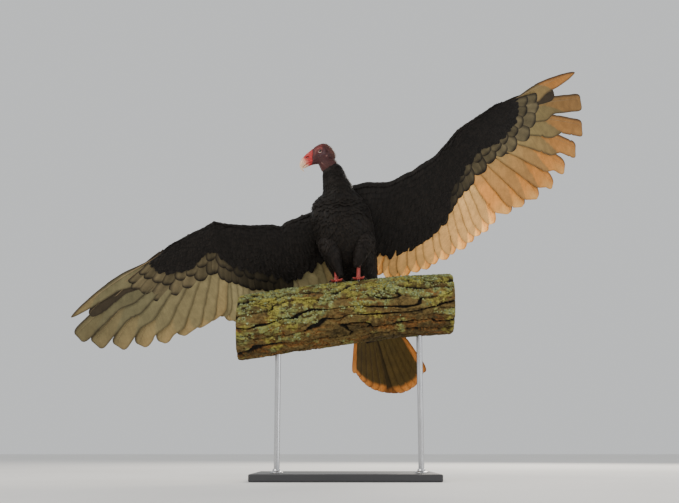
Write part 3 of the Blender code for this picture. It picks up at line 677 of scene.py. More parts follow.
class TubeChart(Chart):
    """Body-like tube through stations: u is metres along it, v the angle round it.

    A ring is centre + across (wide cos v) + depth (deep sin v), made squarer by the power.
    """

    def __init__(self, stations: tuple, across: Array, power: float = 2.1) -> None:
        """Read (centre, half-width, half-depth) stations and the direction of the width."""
        self.centres, self.wide, self.deep = (array([s[k] for s in stations], float) for k in range(3))
        self.at = walked(self.centres)
        self.across, self.power, self.outward = unit(np.asarray(across, float)), power, -1.0
        self.span = (0.0, float(self.at[-1]), 0.0, 2 * pi)

    def surface(self, u: Array, v: Array) -> Array:
        """Return the surface's points."""
        u = np.asarray(u, float)
        past = (u - clip(u, 0.0, self.at[-1]))[..., None]
        axis = unit(curve(u + 0.004, self.at, self.centres) - curve(u - 0.004, self.at, self.centres))
        centre = curve(u, self.at, self.centres) + axis * past
        across = unit(self.across - axis * (axis @ self.across)[..., None])
        c, s = squared(v, self.power)
        return (centre + across * (curve(u, self.at, self.wide) * c)[..., None]
                + cross(axis, across) * (curve(u, self.at, self.deep) * s)[..., None])

    def rings(self, u: Array, around: int, lift: Array) -> Array:
        """Return rings (rows, around, 3) at each u, raised by a lift for each, for a skin."""
        u, v = np.meshgrid(u, angles(around) + 0.01, indexing="ij")
        return self.place(u, v, np.broadcast_to(lift, u.shape))


# -------------------- feathers
class Lie(Enum):
    """Which side of a vane or of a wing."""

    UNDER = 0
    UPPER = 1


@dataclass(frozen=True)
class VaneGrid:
    """Template of one closed feather: top columns, then the bottom's inner columns, row by row."""

    rows: int
    cols: int

    @property
    def ring(self) -> int:
        """Points in one ring."""
        return 2 * self.cols - 2

    def corners(self) -> tuple[Array, Array, Array]:
        """Return the row and column of the quads' corners, and whether they are on top."""
        quads = grid_faces(self.rows, self.ring)
        place = quads % self.ring
        col = np.where(place < self.cols, place, self.ring - place)
        return quads // self.ring, col, np.broadcast_to(place[:, :1] < self.cols - 1, quads.shape)

    def cloth(self, top: Array, bottom: Array, data: dict[str, tuple[Array, Array]]) -> Cloth:
        """Join top and bottom grids (n, rows, cols, 3), which share their rims, into one raw mesh."""
        points = concatenate([top, bottom[:, :, -2:0:-1]], axis=2).reshape(len(top), -1, 3)
        cloth = flock(points, self.rows, self.ring, data)
        cloth.ring, cloth.rims = self.ring, (0, self.cols - 1)
        return cloth


@dataclass
class Tract:
    """A tract of small feathers on one chart: a number for each feather, or one for all."""

    u: Array
    v: Array
    length: Array
    width: Array
    turn: Array                   # angle from the lie, toward +v
    base: Array                   # lift of the root
    rise: Array                   # lift gained by the tip
    roll: Array                   # slope across the vane
    tone: Array                   # brightness factor
    kind: Array                   # 0 for the darkest dye to 1 for the palest

    def each(self, change: Callable[[Array], Array]) -> "Tract":
        """Return the tract with every array changed."""
        return Tract(*(change(x) for x in vars(self).values()))

    def even(self) -> "Tract":
        """Return the tract with a number for each feather throughout."""
        return self.each(lambda x: np.broadcast_to(np.asarray(x, float), self.u.shape))

    @staticmethod
    def join(tracts: list["Tract"]) -> "Tract":
        """Put several tracts one after another."""
        return Tract(*(concatenate(x) for x in zip(*(vars(t.even()).values() for t in tracts))))


@dataclass(frozen=True)
class Dye:
    """Colours of a small feather: its middle and its rim, from dark kind to pale kind."""

    dark: Colour
    pale: Colour
    dark_rim: Colour
    pale_rim: Colour
    rim_from: float = 0.72        # share of the half-width where the rim begins

    def paint(self, s: Array, c: Array, kind: Array, tone: Array) -> Array:
        """Colour at share s of the length and share c of the half-width, darker on the shaft."""
        rim = maximum(ease(abs(c), self.rim_from, 1.0), ease(s, 0.8, 1.0))
        colour = mix(mix(self.dark, self.pale, kind), mix(self.dark_rim, self.pale_rim, kind), rim)
        return colour * (tone * (1 - 0.25 * ease(1 - abs(c), 0.9, 1.0)))[..., None]


def lay_tract(chart: Chart, tract: Tract, dye: Dye, grid: VaneGrid, thick: float = 0.0005,
              blunt: float = 0.55) -> Cloth:
    """Grow a tract's feathers as closed vanes on its chart.

    A vane's half-width is W/2 times a step up from the root and an ellipse down to the tip.  Its
    points run in the chart's own u and v, scaled by the chart's metres per unit at the root, so
    they follow the surface, and its lift is base + rise s^1.4 + tan(roll) x - 0.1 W/2 c^2.

    Args:
        chart: the surface.
        tract: the feathers.
        dye: their colours.
        grid: rows and columns of a vane.
        thick: thickness at the shaft.
        blunt: share of the length where the tip's ellipse begins.

    Returns:
        The raw mesh of all of them.
    """
    tract = tract.even()
    root = chart.unwrap(tract.u, tract.v)[:, None, None]
    per_u, per_v = (maximum(np.linalg.norm(d, axis=-1), 1e-4)[:, None, None]
                    for d in chart.tangents(tract.u, tract.v))
    f = tract.each(lambda x: x[:, None, None])
    s = (1 - (1 - linspace(0, 1, grid.rows)) ** 1.25)[None, :, None]
    c = linspace(-1, 1, grid.cols)[None, None, :]
    tip = sqrt(clip(1 - ((clip(s, blunt, 1.0) - blunt) / (1.015 - blunt)) ** 2, 0, 1))
    along, across = f.length * s, f.width / 2 * ((0.35 + 0.65 * ease(s, 0.0, 0.35)) * tip) * c
    u = f.u + (along * cos(f.turn) - across * sin(f.turn)) / per_u
    v = f.v + (along * sin(f.turn) + across * cos(f.turn)) / per_v
    lift = f.base + f.rise * s ** 1.4 + np.tan(f.roll) * across - 0.1 * f.width / 2 * c ** 2
    body = thick * (1 - 0.7 * s) * (1 - c ** 2)
    row, col, upper = grid.corners()
    s_at, c_at = (np.broadcast_to(x, (len(root),) + row.shape) for x in (s.ravel()[row], c.ravel()[col]))
    seed = (arange(len(root)) * 0.137 % 7.0)[:, None, None]
    ends = np.broadcast_to(array([[0.0], [1.0]]), (len(root), 2, grid.ring))
    none = zeros(ends.shape)
    return grid.cloth(chart.place(u, v, lift + body / 2), chart.place(u, v, lift - body / 2), {
        "dye": [extend(dye.paint(*at, f.kind, f.tone)) for at in ((s_at, c_at), (ends, none))],
        "vane": (stack([f.length * s_at + seed, f.width / 2 * c_at, upper + seed], -1),
                 stack([ends * 0.01, none, none], -1)),
        UV_NAME: [root + stack(at, -1) * PATCH for at in ((s_at - 0.5, c_at / 2), (ends - 0.5, none))]})


# -------------------- flight feathers
def feather_rows(count: int = 56) -> Array:
    """Share of a long feather's length at each of its rows, which crowd toward the tip."""
    return 1 - (1 - linspace(0, 1, count)) ** 1.15


def tip_shape(s: Array, start: float, power: float) -> Array:
    """Half-width's share down a feather: 1 as far as start, then a superellipse down to the tip."""
    return clip(1 - (clip(s - start, 0, 1) / (1.004 - start)) ** power, 0, 1) ** (1 / power)


@dataclass(frozen=True)
class FlightDye:
    """Colours of flight feathers, above and below; the warm colours below are painted backlight glow."""

    upper: Colour = (0.026, 0.019, 0.015)
    upper_rim: Colour = (0.06, 0.042, 0.03)
    double: Colour = (0.245, 0.17, 0.068)       # below, where two vanes lie together: the grey of the under side, darkened as painted shade
    single: Colour = (0.66, 0.262, 0.055)       # below, where one vane lets the light through: painted backlight glow
    root: Colour = (0.37, 0.28, 0.11)
    # painted backlight glow on the free edges below
    rim: Colour = (0.98, 0.56, 0.17)
    lead: Colour = (0.03, 0.02, 0.012)          # dark outlines below, partly painted shade where vanes overlap; also the dark of a newly grown feather
    shaft_upper: Colour = (0.035, 0.024, 0.016)
    shaft_under: Colour = (0.3, 0.205, 0.105)
    tip: float = 0.0              # how much of the painted backlight glow the doubled tips show


@dataclass
class Plume:
    """One flight feather in a flat layout: its middle line, its edges and its shaft's place."""

    line: Array                   # (rows, 2) middle line
    lead: Array                   # half-width on the leading side, for each row
    trail: Array                  # half-width on the trailing side
    shaft: float = 0.42           # place of the shaft, as a share of the leading half-width
    twist: float = 0.05           # slope across, leading edge up
    tone: float = 1.0
    # how strongly the painted backlight glow shows below
    glow: float = 1.0
    dark: float = 0.0             # 1 for a newly grown dark feather
    outline: float = 0.35         # how dark the edges are below, partly painted shade where vanes overlap
    level: float = 0.0            # lift of the shaft
    doubled_glow: float = 0.0            # how much of the painted backlight glow the doubled parts show
    overlap: float = 0.0          # how far the doubled part runs past the leading edge of the next

    def __post_init__(self) -> None:
        """Work out the directions toward the tip and toward the leading side."""
        self.ahead = unit(np.gradient(self.line, axis=0))
        self.normal = stack([-self.ahead[:, 1], self.ahead[:, 0]], 1)

    def covers(self, points: Array) -> Array:
        """How far flat points lie under this feather, from 0 outside to 1 well inside."""
        gap = points[..., None, :] - self.line
        near = np.argmin((gap ** 2).sum(-1), axis=-1)
        off, along = (np.take_along_axis((gap * way).sum(-1), near[..., None], -1)[..., 0]
                      for way in (self.normal, self.ahead))
        wider = self.overlap * (1 - ease(near / (len(self.line) - 1), 0.45, 0.97))
        inside = minimum(off + self.trail[near], self.lead[near] + wider - off)
        past = (near == len(self.line) - 1) & (along > 0)
        return np.where(past, 0.0, ease(inside, -0.0008, 0.001))


@dataclass
class FlightRow:
    """A row of flight feathers, laid from the body outward, on one chart."""

    chart: Chart
    plumes: list[Plume]
    dye: FlightDye
    seed: int
    grid: VaneGrid = VaneGrid(56, 20)
    thick: float = 0.0006
    trail_shares: Numbers = (1.0, 0.972, 0.87, 0.76, 0.65, 0.54, 0.43, 0.32, 0.2, 0.1, 0.0)
    lead_shares: Numbers = (0.0, 0.2, 0.45, 0.7, 0.95, 1.0)

    def columns(self, plume: Plume) -> tuple[Array, Array, Array]:
        """Places of the columns across each row, of the shaft, and each column's share of shaft."""
        s = linspace(0, 1, len(plume.line))
        narrow = minimum(plume.lead, plume.trail)
        half = minimum(0.0017 * (1 - s) + 0.00035, 0.3 * narrow)[:, None]
        at = (plume.shaft * narrow)[:, None]
        trail = at - half - (at + plume.trail[:, None] - half) * self.trail_shares
        lead = at + half + (plume.lead[:, None] - at - half) * self.lead_shares
        core = zeros(self.grid.cols)
        core[[11, 12, 13]] = (0.8, 1.0, 0.8)
        return concatenate([trail, at + half * (-0.5, 0.0, 0.5), lead], axis=1), at, core

    def notches(self, plume: Plume, number: int) -> None:
        """Part the barbs in a few places, so that the edges are not perfect."""
        dice = chance(self.seed * 100 + number)
        s = linspace(0, 1, len(plume.line))
        for edge in (plume.trail, plume.lead):
            for _ in range(dice.integers(1, 4)):
                at, deep = dice.uniform(0.35, 0.94), dice.uniform(0.03, 0.12)
                edge *= 1 - deep * bell(s, at, 0.008)
            edge *= 1 + 0.012 * sin(s * dice.uniform(20, 40) + dice.uniform(0, 6))

    def feather(self, number: int, plume: Plume) -> Cloth:
        """One feather: its lift is level + twist x - a bow away from the shaft + a faint wave.

        The bow is 3.4 mm (1 - bell(x)) (0.3 + 0.7 s), and the shaft is a ridge, mostly below.
        """
        x, at, core = self.columns(plume)
        s = linspace(0, 1, len(plume.line))[:, None]
        flat = plume.line[:, None] + plume.normal[:, None] * x[..., None]
        half = maximum(maximum(plume.lead, plume.trail)[:, None], 1e-4)
        wave = 0.0006 * fractal(extend(flat * 40, number * 3.7), 2, self.seed)
        bow = 0.0034 * (1 - bell(x, at, 0.03)) * (0.3 + 0.7 * s)
        lift = plume.level + (x - at) * plume.twist - bow + wave
        body = self.thick * (0.35 + 0.65 * clip(1 - abs(x - at) / half, 0, 1)) * (1 - 0.5 * s)
        ridge = core * (0.0016 * (1 - s) + 0.0003)
        inner = np.ones(x.shape[1])
        inner[[0, -1]] = 0.0
        top, bottom = (self.chart.place(flat[..., 0], flat[..., 1], lift + rise * inner)[None]
                       for rise in (body / 2 + 0.35 * ridge, -body / 2 - ridge))
        total, beside = len(self.plumes), self.plumes[max(number - 1, 0):number + 2]
        cover = np.max([other.covers(flat) for other in beside if other is not plume], axis=0)
        row, col, upper = self.grid.corners()
        under, above = (side[row, col] for side in self.paint(plume, s, x, at, cover, core, flat))
        vane = stack([walked(plume.line)[row] + number * 0.71, (x - at)[row, col], upper + number * 0.5], -1)
        place = stack([(number + 0.06 + 0.88 * (col / (self.grid.cols - 1))) / total,
                       np.where(upper, 0.505, 0.005) + 0.485 * row / (self.grid.rows - 1)], -1)
        ends = zeros((1, 2, self.grid.ring, 1))
        return self.grid.cloth(top, bottom, {
            "dye": (extend(np.where(upper[..., None], above, under))[None], ends + (0.05, 0.04, 0.03, 1.0)),
            "vane": (vane[None], ends + (0.0, 0.0, 0.0)),
            UV_NAME: (place[None], ends + ((number + 0.5) / total, 0.006))})

    def build(self) -> Cloth:
        """Return the raw mesh of the row."""
        for number, plume in enumerate(self.plumes):
            self.notches(plume, number)
        return merge([self.feather(number, plume) for number, plume in enumerate(self.plumes)])

    def paint(self, plume: Plume, s: Array, x: Array, at: Array, cover: Array, core: Array,
              flat: Array) -> tuple[Array, Array]:
        """Colour both sides of a feather at every point of its grid.

        Below, a doubled vane is grey, darkened as painted shade, and a single one is painted with a warm
        backlight glow toward its tip; the free edges carry the palest painted glow and the leading edge
        is dark, partly painted shade where vanes overlap.  Above, it is blackish with browner edges.

        Args:
            plume: the feather.
            s: share of the length at each row.
            x: distance across from the middle line.
            at: place of the shaft.
            cover: how far each point is doubled by a neighbour.
            core: how much each column is shaft.
            flat: flat places, for the slow changes of colour.

        Returns:
            Colours of the under side and of the upper side.
        """
        dye, ahead = self.dye, plume.lead[:, None] - x
        slow = fractal(extend(flat * 22, self.seed * 9.1), 3, 5)
        to_edge = minimum(x + plume.trail[:, None], ahead)
        # share of painted backlight glow below: where one vane lies alone toward the tip, on the doubled tips
        # and on the doubled parts
        glow_share = np.max([(1 - cover) * ease(s + 0.12 * slow, 0.1, 0.62) * plume.glow,
                       dye.tip * ease(s + 0.05 * slow, 0.87, 0.93),
                       plume.doubled_glow * ease(s, 0.05, 0.4) + 0 * x], axis=0)
        # doubled parts keep the darker double colour, painted shade; single parts take the painted glow
        under = mix(mix(dye.root, dye.double, ease(s + 0.1 * slow, 0.1, 0.75)), dye.single, clip(glow_share, 0, 1))
        # painted backlight glow along the free edges below
        edge_glow = (1 - cover) * ease(s, 0.7, 0.97) * plume.glow * 0.75 * (1 - plume.outline)
        under = mix(under, dye.rim, clip(edge_glow, 0, 1) * ease(-x, -0.012, 0.012))
        under = under * (1 + 0.16 * slow)[..., None] * plume.tone
        # dark outlines: the vanes' own dark edges, partly painted shade where they overlap and at the roots
        # under the coverts
        edge = np.max([maximum(ease(0.0065 - to_edge, 0.0, 0.006), ease(s, 0.975, 1.0)) * plume.outline,
                       ease(0.009 - ahead, 0.0, 0.008) * minimum(plume.outline * 2.2, 0.92),
                       ease(0.24 - s, 0.0, 0.08) * ease(x - at, 0.0, 0.003) * plume.outline * 1.4], axis=0)
        under = layered(under, (dye.lead, clip(edge, 0, 1)), (dye.lead, plume.dark * 0.86 + 0 * x),
                        (dye.shaft_under, core * (1 - 0.5 * s)))
        brown = maximum(ease(0.005 - to_edge, 0, 0.004), ease(s, 0.93, 1.0)) * 0.7
        upper = mix(dye.upper, dye.upper_rim, brown) * (1 + 0.22 * slow)[..., None]
        return under, mix(upper, dye.shaft_upper, core + 0 * s)


# -------------------- wings
@dataclass(frozen=True)
class WingPose:
    """One wing laid out flat, then bent in depth."""

    name: str
    side: int
    shoulder: Colour
    bones: tuple                  # length and degrees above outward of humerus, ulna and hand
    sweep: tuple[Numbers, Numbers]  # metres outward, and degrees backward there
    primary_aim: Numbers
    primary_length: Numbers
    secondary_aim: Numbers
    curl: float
    lead: Numbers
    grown: float
    lining_at: Numbers            # arm stations ...
    lining: Numbers               # ... and how far behind the bones the black lining reaches there
    band: Numbers                 # and the grey greater coverts
    glow: float                   # how strongly the painted backlight glow shows in the single vanes below
    dye: FlightDye = FlightDye()
    tone: float = 1.0
    arm_tone: float = 1.45        # the secondaries against the primaries


LEFT_WING = WingPose(
    "left", 1, (0.06, -0.02, 0.781), bones=((0.14, 17), (0.215, 51), (0.15, 37)),
    sweep=((0, 0.12, 0.27, 0.4, 0.55, 0.75), (8, 10, 14, 24, 36, 44)),
    primary_aim=(-53, -44.5, -35, -24.5, -14, -4.5, 5, 15.5, 22, 28),
    primary_length=(0.27, 0.281, 0.302, 0.331, 0.355, 0.386, 0.402, 0.385, 0.37, 0.345),
    secondary_aim=(-106, -84, -62), curl=3.0,
    lead=(0.055, 0.039, 0.052, 0.02, 0.013, 0.012, 0.01), grown=0.66,
    lining_at=(-0.3, 0.5, 1.0, 1.25, 1.5, 1.62, 1.78, 2.0, 2.1, 2.25, 2.45, 2.6, 2.8, 3.0),
    lining=(0.19, 0.2, 0.204, 0.206, 0.178, 0.12, 0.097, 0.08, 0.073, 0.09, 0.098, 0.102, 0.086, 0.058),
    band=(0.2, 0.205, 0.208, 0.21, 0.19, 0.166, 0.15, 0.132, 0.124, 0.138, 0.162, 0.177, 0.158, 0.12),
    # the left wing's under side is painted with full backlight glow and brighter secondaries
    glow=1.0, arm_tone=2.15)
RIGHT_WING = WingPose(
    "right", -1, (-0.094, -0.03, 0.7345), bones=((0.14, -50), (0.2, 21.5), (0.15, -30)),
    sweep=((0, 0.2, 0.35, 0.7), (-12, -6, -2, 4)),
    primary_aim=(-86, -82, -76.5, -70, -63, -56, -49, -42.5, -39, -34.5),
    primary_length=(0.285, 0.3, 0.322, 0.348, 0.368, 0.39, 0.41, 0.415, 0.39, 0.36),
    secondary_aim=(-106, -98, -90), curl=-3.0,
    lead=(0.01, 0.045, 0.072, 0.036, 0.008, 0.01, 0.01), grown=0.84,
    lining_at=(-0.3, 0.5, 1.0, 1.25, 1.5, 1.65, 1.85, 2.0, 2.15, 2.3, 2.5, 2.65, 2.8, 3.0),
    lining=(0.14, 0.12, 0.096, 0.094, 0.102, 0.105, 0.098, 0.076, 0.082, 0.112, 0.12, 0.113, 0.096, 0.055),
    band=(0.16, 0.15, 0.146, 0.15, 0.156, 0.16, 0.158, 0.142, 0.158, 0.182, 0.206, 0.198, 0.17, 0.13),
    # the right wing is the same feathers painted dimmer, greyer and with half the backlight glow: painted
    # shade
    glow=0.5, tone=0.72,
    dye=FlightDye(double=(0.27, 0.235, 0.118), single=(0.42, 0.285, 0.11), root=(0.28, 0.245, 0.125),
                  rim=(0.8, 0.5, 0.2)))

FLESH_REACH = (0.1, 0.1, 0.09, 0.085, 0.085, 0.09, 0.09)      # behind the bones, to the rear
FLESH_THICK = (0.026, 0.019, 0.016, 0.0125, 0.0105, 0.008, 0.0045)
ARM_KNOTS = linspace(0, 3, 7)
PRIMARY_AT = [2.02 + 0.95 * k / 9 for k in range(10)]         # arm stations of the roots


class WingChart(Chart):
    """The wing's flat layout bent into the world: u runs outward and v forward, both in metres."""

    tilt, camber = 62.0, 0.22

    def __init__(self, pose: WingPose) -> None:
        """Work out the bones and the bend."""
        self.pose, self.outward = pose, float(pose.side)
        length, angle = array(pose.bones).T
        self.joints = np.cumsum(concatenate([[[0, 0]], heading(angle) * length[:, None]]), axis=0)
        self.reach = linspace(-0.1, 0.9, 401)
        self.bend = radians(interp(self.reach, *pose.sweep))
        step = np.diff(self.reach, prepend=self.reach[0])
        self.out, self.back = (np.cumsum(way(self.bend) * step) for way in (cos, sin))
        self.out -= interp(0.0, self.reach, self.out)
        self.back -= interp(0.0, self.reach, self.back)

    def bone(self, t: Array) -> Array:
        """Flat point at t: 0 shoulder, 1 elbow, 2 wrist, 3 tip of the hand; below 0 runs inward."""
        t = np.asarray(t, float)
        k = clip(np.floor(t).astype(int), 0, 2)
        return self.joints[k] + (self.joints[k + 1] - self.joints[k]) * (t - k)[..., None]

    def place(self, u: Array, v: Array, lift: Array) -> Array:
        """World points of flat points raised by lift off the upper side.

        The layout stands on a forward axis leaned back by the tilt, its outward axis turns by the
        bend, and behind the bones the lift falls off by camber times the distance squared.
        """
        side, lean, bend = self.pose.side, radians(self.tilt), interp(u, self.reach, self.bend)
        forward = array([0.0, -cos(lean), sin(lean)])
        upper = unit(cross(stack([cos(bend) * side, sin(bend), 0 * bend], -1), forward)) * -side
        spine = self.joints[np.argsort(self.joints[:, 0])]
        lift = lift - self.camber * maximum(0.0, interp(u, *spine.T) - v) ** 2
        flat = stack([side * interp(u, self.reach, self.out), interp(u, self.reach, self.back), 0 * bend], -1)
        return self.pose.shoulder + flat + forward * v[..., None] + upper * lift[..., None]


class ArmChart(Chart):
    """One side of the wing over the arm: u is metres behind the leading edge, v the arm station.

    Negative u goes on round the leading edge to the other side.  The height over the layout is the
    flesh's half-thickness times a rounded profile of the share from front to rear, and a thin
    layer over the vanes behind that.
    """

    span = (-0.03, 0.33, -0.35, 3.05)

    def __init__(self, wing: WingChart, lie: Lie, aims: tuple[Array, Array]) -> None:
        """Take the wing, the side of it, and the flight feathers' stations and aims."""
        self.wing, self.aims = wing, aims
        self.turn, self.low, self.over = (-1.0, 0.92, 0.0088) if lie is Lie.UNDER else (1.0, 1.0, 0.0036)
        self.outward = -wing.pose.side * self.turn

    def front(self, t: Array) -> tuple[Array, Array, Array, Array]:
        """At arm stations: flat leading edge, way backward, flesh length, metres ahead of the bone."""
        t = np.asarray(t, float)
        root, last = self.wing.bone(t), minimum(t + 0.05, 3.0)
        x, y = np.moveaxis(unit(self.wing.bone(last) - self.wing.bone(last - 0.05)), -1, 0)
        lean = stack([-y, x], -1) * maximum(0, t - 1.5)[..., None] + maximum(0, 2.5 - t)[..., None] * (0, 1)
        front = root + unit(lean) * curve(t, ARM_KNOTS, self.wing.pose.lead)[..., None]
        rear = root + heading(interp(t, *self.aims)) * curve(t, ARM_KNOTS, FLESH_REACH)[..., None]
        length, ahead = (np.linalg.norm(way, axis=-1) for way in (rear - front, front - root))
        return front, unit(rear - front), length, ahead

    def surface(self, u: Array, v: Array) -> Array:
        """Return the surface's points."""
        u, v = np.broadcast_arrays(np.asarray(u, float), np.asarray(v, float))
        front, back, length, _ = self.front(v)
        far = abs(u)
        flat = front + back * far[..., None]
        share = sqrt(clip(far / length, 0, 1))
        shape = curve(share, (0, 0.2236, 0.447, 0.67, 0.866, 1), (0, 0.42, 0.88, 1, 0.5, 0.06))
        over = self.over * ease(share, 0.6, 1.0) * (1 - 0.35 * ease(far, 0.14, 0.24))
        height = curve(v, ARM_KNOTS, FLESH_THICK) * shape * self.low + over
        return self.wing.place(*np.moveaxis(flat, -1, 0), self.turn * np.sign(u + 1e-12) * height)


@dataclass
class Wing:
    """All the looks of one wing: flight feathers, coverts of both sides and alula."""

    pose: WingPose
    secondaries: int = 13
    tertials: int = 4
    secondary_lengths: Numbers = (0.284, 0.294, 0.284, 0.268)
    tertial_lengths: Numbers = (0.205, 0.278)
    secondary_half: float = 0.0245
    # for each primary: half-width, what the trailing side adds, where that ends, then the tip's
    # power and start, and below the brightness, the painted backlight glow, the outline (partly painted
    # shade) and the painted glow of the doubled parts
    primary_half: Numbers = (0.0285, 0.028, 0.0275, 0.027, 0.027, 0.0265, 0.026, 0.0255, 0.02, 0.019)
    primary_under: Numbers = (0.02, 0.02, 0.021, 0.021, 0.021, 0.02, 0.019, 0.018, 0.014, 0.012)
    notch_at: Numbers = (0.99, 0.99, 0.96, 0.9, 0.84, 0.76, 0.68, 0.58, 0.55, 0.55)
    tip_power: Numbers = (2.3, 2.3, 2.4, 2.6, 3.0, 3.6, 3.8, 3.8, 2.2, 1.65)
    round_from: Numbers = (0.76, 0.78, 0.8, 0.82, 0.86, 0.9, 0.9, 0.9, 0.8, 0.48)
    tones: Numbers = (1.25, 1.1, 1.0, 0.95, 0.92, 0.84, 0.74, 0.64, 0.5, 0.76)
    glows: Numbers = (1.0, 1.0, 1.0, 1.0, 0.95, 0.75, 0.55, 0.35, 0.4, 0.9)
    outlines: Numbers = (0.3, 0.3, 0.32, 0.35, 0.42, 0.6, 0.7, 0.75, 0.6, 0.7)
    doubled_glows: Numbers = (0.55, 0.52, 0.48, 0.42, 0.32, 0.12, 0.0, 0.0, 0.0, 0.1)

    def __post_init__(self) -> None:
        """Make the charts; the coverts' aims follow the feathers behind them."""
        self.chart = WingChart(self.pose)
        stations = [0.12 + 0.176 * k for k in range(5)] + [1 + (k + 0.3) / 17 for k in range(17)]
        aims = [*interp(stations, (1, 1.5, 2), self.pose.secondary_aim), *self.pose.primary_aim]
        self.sides = {lie: ArmChart(self.chart, lie, (array(stations + PRIMARY_AT), array(aims)))
                      for lie in Lie}

    def line(self, t: float, aim: float, curl: float, length: float, full: float, start: float) -> Array:
        """Middle line of a feather: steps along an aim that turns by curl from root to tip.

        Args:
            t: arm station of the root.
            aim: degrees above outward.
            curl: degrees turned along the whole length.
            length: length when full grown.
            full: share that is there.
            start: share where the vane starts.

        Returns:
            Points (rows, 2) from start to full.
        """
        marks = linspace(0, 1, 41)
        steps = heading(aim + curl * (marks[1:] - 0.5125)) * length / 40
        walk = np.cumsum(concatenate([[[0, 0]], steps]), axis=0)
        at = start + (full - start) * feather_rows()
        return self.chart.bone(t) + stack([interp(at, marks, walk[:, k]) for k in (0, 1)], 1)

    def primaries(self) -> list[Plume]:
        """The ten primaries: broad rooted vanes that narrow to fingers, the outer ones square-ended.

        The ninth is newly grown, short and dark; the tenth is pointed, with a tapered root.
        """
        pose, plumes, s = self.pose, [], feather_rows()
        for k, t in enumerate(PRIMARY_AT):
            young, last = k == 8, k == 9
            line = self.line(t, pose.primary_aim[k], pose.curl, pose.primary_length[k],
                             pose.grown if young else 1.0, 0.02 if last else 0.12)
            tip, half = tip_shape(s, self.round_from[k], self.tip_power[k]), self.primary_half[k]
            under = self.primary_under[k] * ease(self.notch_at[k] - s, -0.02, 0.14)
            lead = half * (0.72 + 0.28 * ease(s, 0.2, 0.6)) * tip
            if last:
                lead = lead * (0.18 + 0.82 * ease(s, 0.1, 0.45))
            plumes.append(Plume(line, lead, (half + under) * tip, 0.42 if k > 4 else 0.3, 0.055,
                                pose.tone * self.tones[k], pose.glow * self.glows[k], float(young),
                                self.outlines[k], doubled_glow=self.doubled_glows[k] * pose.glow, overlap=0.022))
        return plumes

    def arm_plumes(self) -> list[Plume]:
        """Tertials and secondaries: broad, overlapping, round-ended."""
        pose, plumes, s, dice = self.pose, [], feather_rows(), chance(31)
        half = self.secondary_half * (0.75 + 0.25 * ease(s, 0.1, 0.5)) * tip_shape(s, 0.8, 2.3)
        inner = 0.12 + 0.88 * arange(self.tertials) / self.tertials
        outer = 1 + (arange(self.secondaries) + 0.3) / self.secondaries
        lengths = [*interp(inner, (0, 1), self.tertial_lengths),
                   *interp(outer, (1, 1.15, 1.6, 2), self.secondary_lengths)]
        for t, length in zip((*inner, *outer), lengths):
            aim = interp(t, (1, 1.5, 2), pose.secondary_aim) + dice.uniform(-1, 1)
            line = self.line(t, aim, -4.0, length * dice.uniform(0.985, 1.01), 1.0, 0.14)
            plumes.append(Plume(line, half * 0.92, half * 1.12, 0.22, 0.05,
                                pose.tone * dice.uniform(0.92, 1.08) * pose.arm_tone, pose.glow * 0.9,
                                outline=0.22, doubled_glow=0.28 * pose.glow, overlap=0.014))
        return plumes

    def covert_rows(self, lie: Lie, rows: int, reach: float, longest: float, seed: int) -> Tract:
        """Rows of coverts from the leading edge back over the lining.

        Row r of n has its tips at share (r/n)^0.92 of the way from the leading edge to the
        reach; they are spaced along the arm by their width and staggered from row to row.

        Args:
            lie: side of the wing.
            rows: number of rows.
            reach: how far the last row's tips go, as a share of the lining.
            longest: length of the last row's feathers.
            seed: of the scatter.

        Returns:
            The tract.
        """
        dice, parts, fine = chance(seed), [], linspace(-0.28, 2.985, 900)
        front, back, _, lead = self.sides[lie].front(fine)
        extent = lead + curve(fine, self.pose.lining_at, array(self.pose.lining) * reach)
        size = clip(extent / 0.2, 0.55, 1.15)
        for r in range(rows):
            share = ((r + 1) / rows) ** 0.92
            length, width = (0.017 + (longest - 0.017) * share) * size, (0.011 + 0.015 * share) * sqrt(size)
            gaps = np.diff(walked(front + back * (extent * share)[:, None])) / (0.56 * width[1:])
            travel = np.cumsum(np.append(0, gaps))
            near = scatter(dice, int(travel[-1]))
            t = interp(arange(int(travel[-1])) + 0.5 * (r % 2) + near(0, 0.16), travel, fine)
            at = interp(t, fine, arange(900)).astype(int)
            long = length[at] * near(1, 0.08)
            tip = extent[at] * share + near(0, 0.0022 * (1 + 2 * share))
            parts.append(Tract(tip - long, t, long, width[at] * near(1, 0.1), near(0.1, 0.1),
                               -0.0026 + 0.0008 * clip(tip / 0.16, 0, 1), near(0.004, 0.0006),
                               near(0.06, 0.05), near(1.025, 0.275), 0.0))
        return Tract.join(parts)

    def greater(self, lie: Lie, share: float, low: float, high: float, width: float, count: int, base: float,
                kind: float, seed: int) -> Tract:
        """One row of greater or median coverts over the flight feathers' roots.

        Args:
            lie: side of the wing.
            share: reach of the tips, 0 at the lining's edge and 1 at the band's.
            low: first arm station.
            high: last arm station.
            width: width of a feather.
            count: how many.
            base: lift of the roots.
            kind: pale share of the dye.
            seed: of the scatter.

        Returns:
            The tract.
        """
        near, pose = scatter(chance(seed), count), self.pose
        t = linspace(low, high, count) + near(0, 0.2) * (high - low) / count
        lead = self.sides[lie].front(t)[3]
        lining, band = (curve(t, pose.lining_at, reach) for reach in (pose.lining, pose.band))
        tip = lead + (lining * (1 - share) + band * share) * near(1, 0.03)
        root = maximum(lead + 0.03, tip - 0.078)
        return Tract(root, t, maximum(tip - root, 0.03), width * near(1, 0.08), near(0.04, 0.05), base,
                     0.0014, near(0.06, 0.02), near(0.925, 0.275), kind * (0.25 + 0.75 * ease(t, 1.55, 2.35)))

